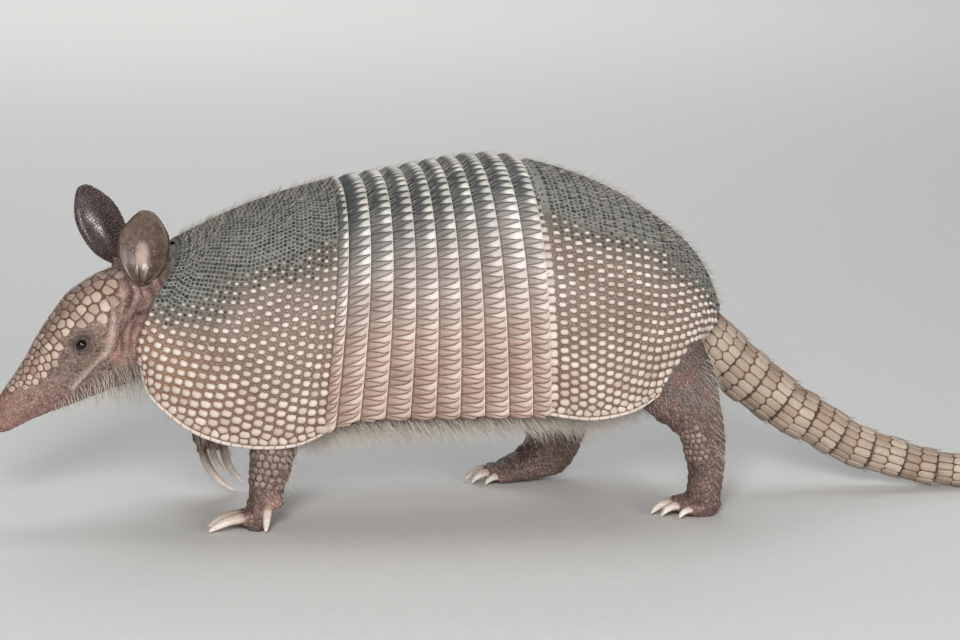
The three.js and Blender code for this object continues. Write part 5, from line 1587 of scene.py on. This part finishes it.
def shell_finish():
    m = Finish("shell_horn")
    pale, dors, rnd, rust, inside = m.attrs("pale", "dors", "rnd", "rust", "inside")
    scute, lip, gap, fore, flank, strip = m.attrs("scute", "lip", "gap", "fore", "flank", "strip")
    pale = m.math("MAXIMUM", pale, m.attr("lift"))
    fine, mid, broad = m.noise(0.7, 4.0), m.noise(3.0, 3.0), m.noise(28.0, 3.0)
    grains = m.cell(0.9)
    low_groove = m.mix(flank, m.mix(mid, (98, 84, 74), (134, 118, 106)),
                       m.mix(mid, (92, 67, 54), (134, 106, 90)))
    dot = m.times(m.span(m.cell(1.35), 0.30, 0.16), m.span(mid, 0.35, 0.6, 0.3, 1.0))
    low_groove = m.over(low_groove, dot, 0.65, (182, 165, 152))
    back_groove = m.mix(mid, (112, 113, 107), (148, 149, 142))
    low_scute = m.mix(flank, m.mix(rnd, (194, 180, 168), (223, 211, 201)),
                      m.mix(rnd, (178, 162, 150), (210, 196, 186)))
    low_grain = m.mix(rnd, (140, 122, 109), (188, 171, 158))
    low_scute = m.mix(m.span(scute, 0.5, 0.4), low_scute, low_grain)
    back_scute = m.mix(rnd, (34, 36, 34), (74, 76, 72))
    back_grain = m.mix(rnd, (26, 28, 26), (76, 78, 74))
    back_scute = m.mix(m.span(scute, 0.5, 0.4), back_scute, back_grain)
    groove = m.mix(m.span(dors, 0.02, 0.4), low_groove, m.mix(mid, (92, 87, 80), (126, 120, 111)))
    groove = m.mix(m.span(dors, 0.5, 0.85), groove, back_groove)
    groove = m.over(groove, rust, 0.6, m.mix(mid, (132, 92, 66), (170, 130, 102)))
    turning = m.plus(0.10, m.times(m.span(scute, 0.5, 0.9), 0.44))
    crown = m.mix(m.span(dors, turning, m.plus(turning, 0.24)), low_scute, back_scute)
    # on the bands the wedges stay pale towards their lips and the skin between them goes dark on the back
    wedge = m.span(scute, 0.55, 0.6)
    wedge = m.times(wedge, m.span(scute, 0.7, 0.65))
    back_gap = m.mix(rnd, (66, 70, 70), (94, 97, 96))
    back_wedge = m.mix(m.span(fore, 0.25, 0.62), m.mix(rnd, (170, 170, 163), (218, 214, 204)), back_gap)
    low_wedge = m.mix(flank, m.mix(rnd, (200, 195, 191), (227, 222, 218)),
                      m.mix(rnd, (182, 162, 150), (206, 189, 178)))
    low_gap = m.mix(flank, m.mix(rnd, (148, 143, 141), (178, 172, 169)),
                    m.mix(rnd, (166, 140, 127), (190, 165, 152)))
    wedge_tone = m.mix(dors, low_wedge, back_wedge)
    gap_tone = m.mix(dors, low_gap, back_gap)
    # painted highlight: a paler streak along the domed middle of each scute between the wedges, and near the
    # lip
    gap_tone = m.over(gap_tone, m.span(pale, 0.52, 0.62), 0.35, m.mix(dors, (206, 190, 180), (120, 124, 124)))
    crown = m.mix(wedge, crown, m.mix(gap, wedge_tone, gap_tone))
    shade = m.times(m.times(m.span(fore, 0.25, 0.9), wedge), 0.62)
    crown = m.mix(shade, crown, m.mix(dors, m.mix(flank, (126, 117, 112), (138, 112, 100)), (62, 66, 66)))
    shade = m.times(m.times(m.span(fore, 0.84, 1.0), wedge), 0.7)
    crown = m.mix(shade, crown, m.mix(dors, (88, 68, 60), (48, 50, 50)))
    # pale lip: partly the band's own pale edge, partly a painted highlight along the rounded rear edge
    crown = m.over(crown, lip, 0.5, m.mix(dors, (222, 207, 196), (196, 194, 186)))
    # painted shadow on the underside of each scute, from the below weight
    shade = m.times(m.attr("below"), m.span(dors, 0.75, 0.3, 0.1, 0.95))
    crown = m.mix(shade, crown, m.mix(flank, (84, 70, 61), (84, 58, 45)))
    seam = m.times(m.span(m.math("PINGPONG", m.attr("along"), 2.9), 0.34, 0.16), strip)
    crown = m.over(crown, strip, 0.6, m.mix(mid, (206, 194, 182), (232, 223, 213)))
    crown = m.over(crown, seam, 0.85, (92, 70, 58))
    worn = m.span(m.ragged(pale, fine, 0.5), 0.1, 0.55)
    dim = m.mix(m.times(wedge, dors), groove, (52, 54, 53))
    colour = m.mix(worn, dim, crown)
    colour = m.mix(m.span(fine, 0.5, 0.8, 0.0, 0.3), colour, m.mix(dors, (160, 130, 116), (104, 104, 100)))
    colour = m.mix(m.span(broad, 0.42, 0.7, 0.0, 0.25), colour, (170, 140, 124), "MULTIPLY")
    grime = m.times(m.span(grains, 0.25, 0.6), m.math("SUBTRACT", 1.0, worn))
    grime = m.times(grime, m.math("SUBTRACT", 1.0, dors))
    colour = m.over(colour, grime, 0.15, (58, 48, 42))
    colour = m.over(colour, inside, 0.9, m.mix(mid, (70, 54, 46), (98, 76, 64)))
    rough = m.plus(m.span(mid, 0.25, 0.75, 0.42, 0.66), m.times(dors, 0.16))
    relief = m.plus(m.times(fine, 0.5), m.times(grains, -0.35))
    normal = m.bump(relief, 0.35, 0.8)
    return m.done(colour, rough, normal, specular=0.3)


def skin_finish():
    m = Finish("skin_folded")
    leg, pink, dark, throat = m.attrs("leg", "pink", "dark", "throat")
    under, fold, thigh, nape = m.attrs("under", "fold", "thigh", "nape")
    fine, mid, broad = m.noise(0.8, 4.0), m.noise(3.2, 3.0), m.noise(14.0, 3.0)
    pebble, crack = m.cell(2.0), m.cell(2.3, "DISTANCE_TO_EDGE")
    blotch = m.span(mid, 0.3, 0.7)
    face = m.mix(blotch, (88, 70, 62), (134, 113, 102))
    face = m.mix(m.span(broad, 0.45, 0.7, 0, 0.6), face, (122, 82, 64))
    colour = m.over(face, pink, 0.85, m.mix(blotch, (106, 76, 69), (150, 116, 108)))
    colour = m.over(colour, nape, 0.9, m.mix(blotch, (132, 104, 94), (174, 147, 136)))
    colour = m.over(colour, m.attr("flush"), 0.75, m.mix(mid, (166, 120, 110), (206, 168, 158)))
    colour = m.over(colour, throat, 0.7, m.mix(mid, (104, 94, 88), (134, 122, 114)))
    colour = m.over(colour, under, 0.85, m.mix(mid, (118, 92, 84), (160, 134, 124)))
    shin = m.mix(mid, (52, 37, 32), (104, 81, 73))
    mauve = m.mix(mid, (50, 41, 39), (110, 96, 92))
    mauve = m.mix(m.span(broad, 0.45, 0.65, 0, 0.7), mauve, (118, 82, 68))
    colour = m.over(colour, leg, 0.9, m.mix(thigh, shin, mauve))
    bristly = m.math("MAXIMUM", m.times(leg, thigh), m.times(under, 0.8))
    colour = m.mix(m.times(bristly, m.span(m.cell(2.6), 0.30, 0.12, 0, 0.9)), colour, (40, 31, 29))
    colour = m.over(colour, m.attr("blush"), 0.75, m.mix(mid, (146, 102, 94), (188, 148, 140)))
    colour = m.over(colour, dark, 0.85, m.mix(mid, (58, 49, 47), (104, 91, 87)))
    colour = m.over(colour, m.attr("collar"), 0.8, m.mix(mid, (66, 62, 58), (98, 93, 88)))
    lines = m.times(m.span(crack, 0.0, 0.12, 0.55, 0.0), m.span(nape, 0.2, 1.0, 1.0, 0.35))
    colour = m.mix(lines, colour, m.mix(pink, (70, 50, 42), (140, 86, 78)))
    # painted shade in the troughs of the neck folds
    colour = m.over(colour, fold, 0.6, (132, 96, 88), "MULTIPLY")
    colour = m.over(colour, m.attr("ridge"), 0.7, m.mix(mid, (158, 136, 122), (202, 182, 168)))
    # painted shade in the sunken creases of the face
    colour = m.over(colour, m.attr("crease"), 0.8, (66, 42, 36))
    colour = m.over(colour, m.attr("raw"), 0.6, (172, 112, 104))
    colour = m.mix(m.span(fine, 0.45, 0.8, 0, 0.35), colour, (208, 188, 176))
    rough = m.span(mid, 0.2, 0.75, 0.38, 0.64)
    relief = m.plus(m.span(crack, 0.0, 0.25), m.times(fine, 0.35))
    relief = m.math("SUBTRACT", relief, m.times(pebble, 0.4))
    normal = m.bump(relief, 0.5, 0.75)
    return m.done(colour, rough, normal, specular=0.45)


def ear_finish():
    m = Finish("ear_leather")
    inside, pebble, rnd, pale, across, upward = m.attrs("inside", "pebble", "rnd", "pale", "across", "upward")
    fine, mid, broad = m.noise(0.7, 4.0), m.noise(2.2, 3.0), m.noise(9.0, 3.0)
    speck = m.cell(2.1)
    hollow = m.mix(m.span(mid, 0.3, 0.7), (76, 59, 48), (103, 85, 72))
    hollow = m.mix(m.span(broad, 0.4, 0.7, 0, 0.6), hollow, (66, 49, 40))
    # the rim is partly a darker brown edge, partly painted shadow along the rolled rim
    rim = m.span(m.math("ABSOLUTE", across), 0.84, 0.99)
    hollow = m.over(hollow, rim, 0.7, (52, 38, 32))
    # painted shade in the opening at the base of the hollow
    hollow = m.mix(m.span(upward, 0.12, 0.02, 0, 0.7), hollow, (56, 40, 34))
    # painted highlight: a soft pale patch in the middle of the hollow stands in for the lamp's reflection
    wide = m.math("POWER", m.math("DIVIDE", m.plus(across, 0.10), 0.30), 2.0)
    tall = m.math("POWER", m.math("DIVIDE", m.math("SUBTRACT", upward, 0.40), 0.20), 2.0)
    patch = m.plus(m.plus(wide, tall), m.times(m.math("SUBTRACT", mid, 0.5), 1.6))
    hollow = m.mix(m.span(patch, 1.3, 0.1, 0, 0.75), hollow, (186, 164, 155))
    # painted glints: small pale specks where little bumps of the hollow shine
    ring = m.times(m.span(speck, 0.2, 0.08, 0, 0.8), m.span(broad, 0.38, 0.6))
    hollow = m.mix(ring, hollow, (206, 188, 174))
    back = m.mix(m.span(fine, 0.3, 0.7), (42, 32, 31), (60, 47, 45))
    dome = m.mix(rnd, (62, 47, 45), (112, 92, 88))
    dome = m.mix(m.span(pale, 0.3, 0.9), back, dome)
    colour = m.mix(inside, hollow, back)
    colour = m.mix(pebble, colour, dome)
    rough = m.mix(m.math("MAXIMUM", inside, pebble), m.span(mid, 0.2, 0.8, 0.26, 0.42),
                  m.span(mid, 0.2, 0.8, 0.22, 0.40))
    relief = m.plus(m.times(fine, 0.3), m.times(mid, 0.3))
    return m.done(colour, rough, m.bump(relief, 0.3, 0.7), specular=0.6)


def scale_finish():
    m = Finish("scale_horn")
    pale, rnd, leg, pink, dark, square = m.attrs("pale", "rnd", "leg", "pink", "dark", "square")
    fine, mid, broad = m.noise(0.6, 4.0), m.noise(3.0, 3.0), m.noise(16.0, 3.0)
    face = m.mix(rnd, (66, 51, 45), (128, 108, 97))
    face = m.over(face, pink, 0.8, m.mix(rnd, (102, 70, 63), (148, 113, 104)))
    face = m.over(face, m.attr("ridge"), 0.75, m.mix(rnd, (160, 138, 124), (204, 184, 170)))
    # painted shade in the sunken creases of the face
    face = m.over(face, m.attr("crease"), 0.8, (70, 46, 40))
    shin = m.mix(rnd, (68, 49, 43), (118, 92, 84))
    shin = m.mix(square, shin, m.mix(rnd, (104, 81, 72), (152, 129, 118)))
    shin = m.over(shin, m.attr("blush"), 0.75, m.mix(rnd, (158, 112, 104), (196, 156, 148)))
    colour = m.mix(leg, face, shin)
    colour = m.over(colour, dark, 0.8, (76, 64, 60))
    colour = m.mix(m.span(pale, 0.0, 0.6, 0.75, 0.0), colour, m.mix(pink, (52, 37, 31), (112, 70, 62)))
    colour = m.mix(m.span(fine, 0.45, 0.8, 0, 0.4), colour, (206, 186, 172))
    colour = m.mix(m.span(broad, 0.5, 0.7, 0, 0.4), colour, (150, 110, 90), "MULTIPLY")
    rough = m.span(mid, 0.25, 0.75, 0.38, 0.62)
    return m.done(colour, rough, m.bump(fine, 0.2, 0.7), specular=0.45)


def head_shield_finish():
    m = Finish("head_plates")
    pale, rnd, face, inside = m.attrs("pale", "rnd", "face", "inside")
    fine, mid, broad = m.noise(0.6, 4.0), m.noise(2.6, 3.0), m.noise(16.0, 3.0)
    plate = m.mix(rnd, (144, 123, 108), (198, 182, 167))
    plate = m.mix(m.span(mid, 0.4, 0.75, 0, 0.5), plate, (172, 142, 124))
    plate = m.over(plate, face, 0.35, (176, 158, 148))
    plate = m.over(plate, m.attr("crown"), 0.62, m.mix(rnd, (106, 88, 76), (158, 138, 122)))
    groove = m.mix(mid, (78, 48, 33), (118, 82, 62))
    edge = m.ragged(pale, fine, 0.45)
    colour = m.mix(m.span(edge, 0.2, 0.7), groove, plate)
    colour = m.mix(m.span(broad, 0.45, 0.75, 0, 0.45), colour, (168, 126, 102), "MULTIPLY")
    colour = m.over(colour, inside, 0.9, (84, 62, 50))
    rough = m.span(mid, 0.25, 0.75, 0.4, 0.62)
    return m.done(colour, rough, m.bump(m.plus(fine, m.times(mid, 0.6)), 0.25, 0.7), specular=0.45)


def tail_finish():
    m = Finish("tail_rings")
    pale, rnd = m.attrs("pale", "rnd")
    fine, mid, broad = m.noise(0.6, 4.0), m.noise(2.6, 3.0), m.noise(26.0, 3.0)
    plate = m.mix(rnd, (156, 138, 121), (184, 169, 152))
    plate = m.mix(m.span(mid, 0.45, 0.8, 0, 0.5), plate, (152, 124, 104))
    # painted shade at the front of each ring, under the flared rear edge of the ring before
    plate = m.over(plate, m.attr("front"), 0.35, (138, 110, 92))
    # painted shade: the upper side of the tail darker and browner
    plate = m.over(plate, m.attr("crest"), 0.5, m.mix(rnd, (116, 99, 86), (164, 148, 134)))
    groove = m.mix(mid, (66, 46, 36), (108, 82, 67))
    edge = m.ragged(pale, fine, 0.45)
    colour = m.mix(m.span(edge, 0.12, 0.5), groove, plate)
    colour = m.mix(m.span(broad, 0.45, 0.72, 0, 0.4), colour, (170, 134, 108), "MULTIPLY")
    rough = m.span(mid, 0.25, 0.75, 0.42, 0.64)
    return m.done(colour, rough, m.bump(m.plus(fine, m.times(mid, 0.6)), 0.25, 0.7), specular=0.4)


def eye_finish():
    m = Finish("eye_wet")
    polar = m.attr("polar")
    fine, mid = m.noise(0.35, 3.0), m.noise(1.1, 3.0)
    iris = m.mix(fine, (14, 9, 7), (30, 20, 14))
    colour = m.mix(m.span(polar, 22, 27), (3, 2, 2), iris)
    colour = m.mix(m.span(polar, 52, 60), colour, m.mix(mid, (36, 24, 20), (70, 48, 42)))
    return m.done(colour, m.span(mid, 0.3, 0.7, 0.04, 0.08), m.bump(mid, 0.02, 0.2), specular=0.42)


def claw_finish():
    m = Finish("claw_horn")
    reach = m.attr("reach")
    fine, mid, broad = m.noise(0.4, 4.0), m.noise(1.6, 3.0), m.noise(6.0, 3.0)
    streak = m.noise(0.9, 4.0, stretch=(0.25, 1.0, 1.0))
    colour = m.mix(m.span(reach, 0.0, 0.8), (184, 166, 152), (222, 212, 202))
    colour = m.mix(m.span(m.cell(1.9), 0.20, 0.10, 0, 0.75), colour, (92, 66, 52))
    colour = m.mix(m.span(reach, 0.12, -0.05, 0, 0.7), colour, (108, 80, 64))
    colour = m.mix(m.span(streak, 0.45, 0.75, 0, 0.45), colour, (156, 132, 112))
    colour = m.mix(m.span(broad, 0.5, 0.75, 0, 0.35), colour, (140, 114, 94))
    colour = m.mix(m.span(fine, 0.5, 0.85, 0, 0.35), colour, (236, 224, 208))
    return m.done(colour, m.span(mid, 0.3, 0.7, 0.28, 0.48), m.bump(streak, 0.2, 0.6), specular=0.5)


def hair_finish():
    m = Finish("hair_pale")
    reach, grey = m.attrs("reach", "grey")
    fine = m.noise(1.2, 3.0)
    colour = m.mix(grey, (226, 216, 204), (96, 84, 76))
    colour = m.mix(m.span(reach, 0.0, 0.5, 0.35, 0.0), colour, (128, 110, 98))
    colour = m.mix(m.span(fine, 0.4, 0.75, 0, 0.3), colour, (190, 178, 166))
    return m.done(colour, m.span(fine, 0.3, 0.7, 0.42, 0.6), m.bump(fine, 0.05, 0.3), specular=0.35)


MATERIALS = {"shell": shell_finish(), "skin": skin_finish(), "ear": ear_finish(), "scale": scale_finish(),
             "shield": head_shield_finish(), "tail": tail_finish(), "eye": eye_finish(),
             "claw": claw_finish(), "hair": hair_finish()}

# ---- the pieces ----------------------------------------------------------------------------------
shield("scapular_shield", 0.0, BANDS_START - 0.016, 5.15, 4.6, rust=1.0, seed=3, margin=0.0155)
shield("pelvic_shield", BANDS_END - 0.006, 1.0, 4.9, 6.0, first_rows=(7.6,), seed=5, sunk=2.1)
band_width = (BANDS_END - BANDS_START) / (BAND_COUNT - 1 + LAST_BAND_SHARE)
edges = [BANDS_START + i * band_width for i in range(BAND_COUNT)] + [BANDS_END]
for number in range(BAND_COUNT):
    band(number, edges[number], edges[number + 1])

head_shield()
tail()
body = flesh()
for side in ("left", "right"):
    eye(side)
for foot in TOES:
    claws(foot)
along, side, up = body["head"].T
covered = np.abs(np.degrees(np.arctan2(side, up + 3)))
plated = (covered < SHIELD_REACH(np.clip(along, PLATES_START, PLATES_END))[:, 0] + 4) & (along < 80)
cheek = ((body["on_head"] > 0.85) & (body["dark"] < 0.55) & (body["nape"] < 0.4) & (body["ear"] < 0.02)
         & ~plated & (along > 2))
skin_scales("scales_face", body, cheek, 1.75, 0.085, 81, ("pink", "dark", "throat", "ridge", "crease"),
            (1, 0, -0.5))
shins = ((body["leg"] > 0.75) & (body["thigh"] < 0.6) & ~hidden_by_shell(body["p"], 4)
         & (body["p"][:, 2] > 0.8))
LEG_ROWS = {"hind_left": (2.9, 3.95, 3.3, 1.5), "hind_right": (2.2, 2.95, 3.4, 1.5),
            "front_left": (1.5, 2.9, 3.8, 3.2), "front_right": (1.5, 2.9, 3.6, 3.2)}
rows = np.unique(np.concatenate([leg_rows(body, name, *settings) for name, settings in LEG_ROWS.items()]))
skin_scales("scales_legs", body, shins, 2.1, 0.065, 82, ("leg", "blush"), (0.1, 0, -1), first=rows)
ear_pebbles()
shell_hair()
body_hair(body)

# ---- the stage -----------------------------------------------------------------------------------
def lamp(name, place, target, power, size, tone):
    data = bpy.data.lights.new(name, "AREA")
    data.energy, data.shape, data.size, data.color = power, "DISK", size, tone
    ob = placed(name, data)
    ob.location = place
    ob.rotation_euler = (Vector(target) - Vector(place)).to_track_quat("-Z", "Y").to_euler()
    return ob


FLOOR_HALF = 4  # metres
floor_mesh = bpy.data.meshes.new("floor")
floor_mesh.from_pydata([(x * FLOOR_HALF, y * FLOOR_HALF, 0) for x, y in ((-1, -1), (1, -1), (1, 1), (-1, 1))],
                       [], [(0, 1, 2, 3)])
floor = placed("floor", floor_mesh)
ground = Finish("floor_plain")
speck = ground.noise(9.0, 4.0)
floor_mesh.materials.append(ground.done(ground.mix(speck, (212, 211, 208), (222, 221, 218)),
                                        ground.span(speck, 0.3, 0.7, 0.7, 0.85),
                                        ground.bump(speck, 0.2, 0.3), specular=0.5))

# the photo's camera: what it aims at, its place round that in degrees and metres, and its lens in millimetres
AIM = (-0.07565, 0.0, 0.102)
AZIMUTH, ELEVATION, DISTANCE = math.radians(-11), math.radians(10), 2.0
LENS, SENSOR, CLIP_START, CLIP_END = 136, 36, 0.05, 50
# place and target in metres, power in watts, size in metres and tone
LAMPS = {"key": ((-0.62, -1.95, 0.92), AIM, 31, 0.5, (1.0, 0.98, 0.96)),
         "fill": ((0.75, -1.95, 0.42), AIM, 19, 0.9, (0.97, 0.98, 1.0)),
         "top": ((-0.2, 0.7, 1.9), AIM, 12, 1.4, (0.93, 0.96, 1.0)),
         "rear": ((0.0, 3.4, 2.0), (0.0, 3.6, 0.0), 55, 3.0, (1.0, 1.0, 1.0)),
         "low": ((0.1, -1.9, 0.12), (0.0, 0.0, 0.05), 4.5, 0.6, (1.0, 0.99, 0.97))}
key, fill, top, rear, low = (lamp(name, *settings) for name, settings in LAMPS.items())
world = bpy.data.worlds.new("studio")
world.use_nodes = True
background = world.node_tree.nodes["Background"].inputs
background[0].default_value, background[1].default_value = srgb(205, 208, 212), 0.27
bpy.context.scene.world = world

camera_data = bpy.data.cameras.new("camera")
camera_data.lens, camera_data.sensor_width = LENS, SENSOR
camera_data.clip_start, camera_data.clip_end = CLIP_START, CLIP_END
camera = placed("camera", camera_data)
back = Vector((math.sin(AZIMUTH) * math.cos(ELEVATION), -math.cos(AZIMUTH) * math.cos(ELEVATION),
               math.sin(ELEVATION)))
camera.location = Vector(AIM) + back * DISTANCE
camera.rotation_euler = (-back).to_track_quat("-Z", "Y").to_euler()
bpy.context.scene.camera = camera
bpy.context.scene.view_settings.view_transform = "Standard"
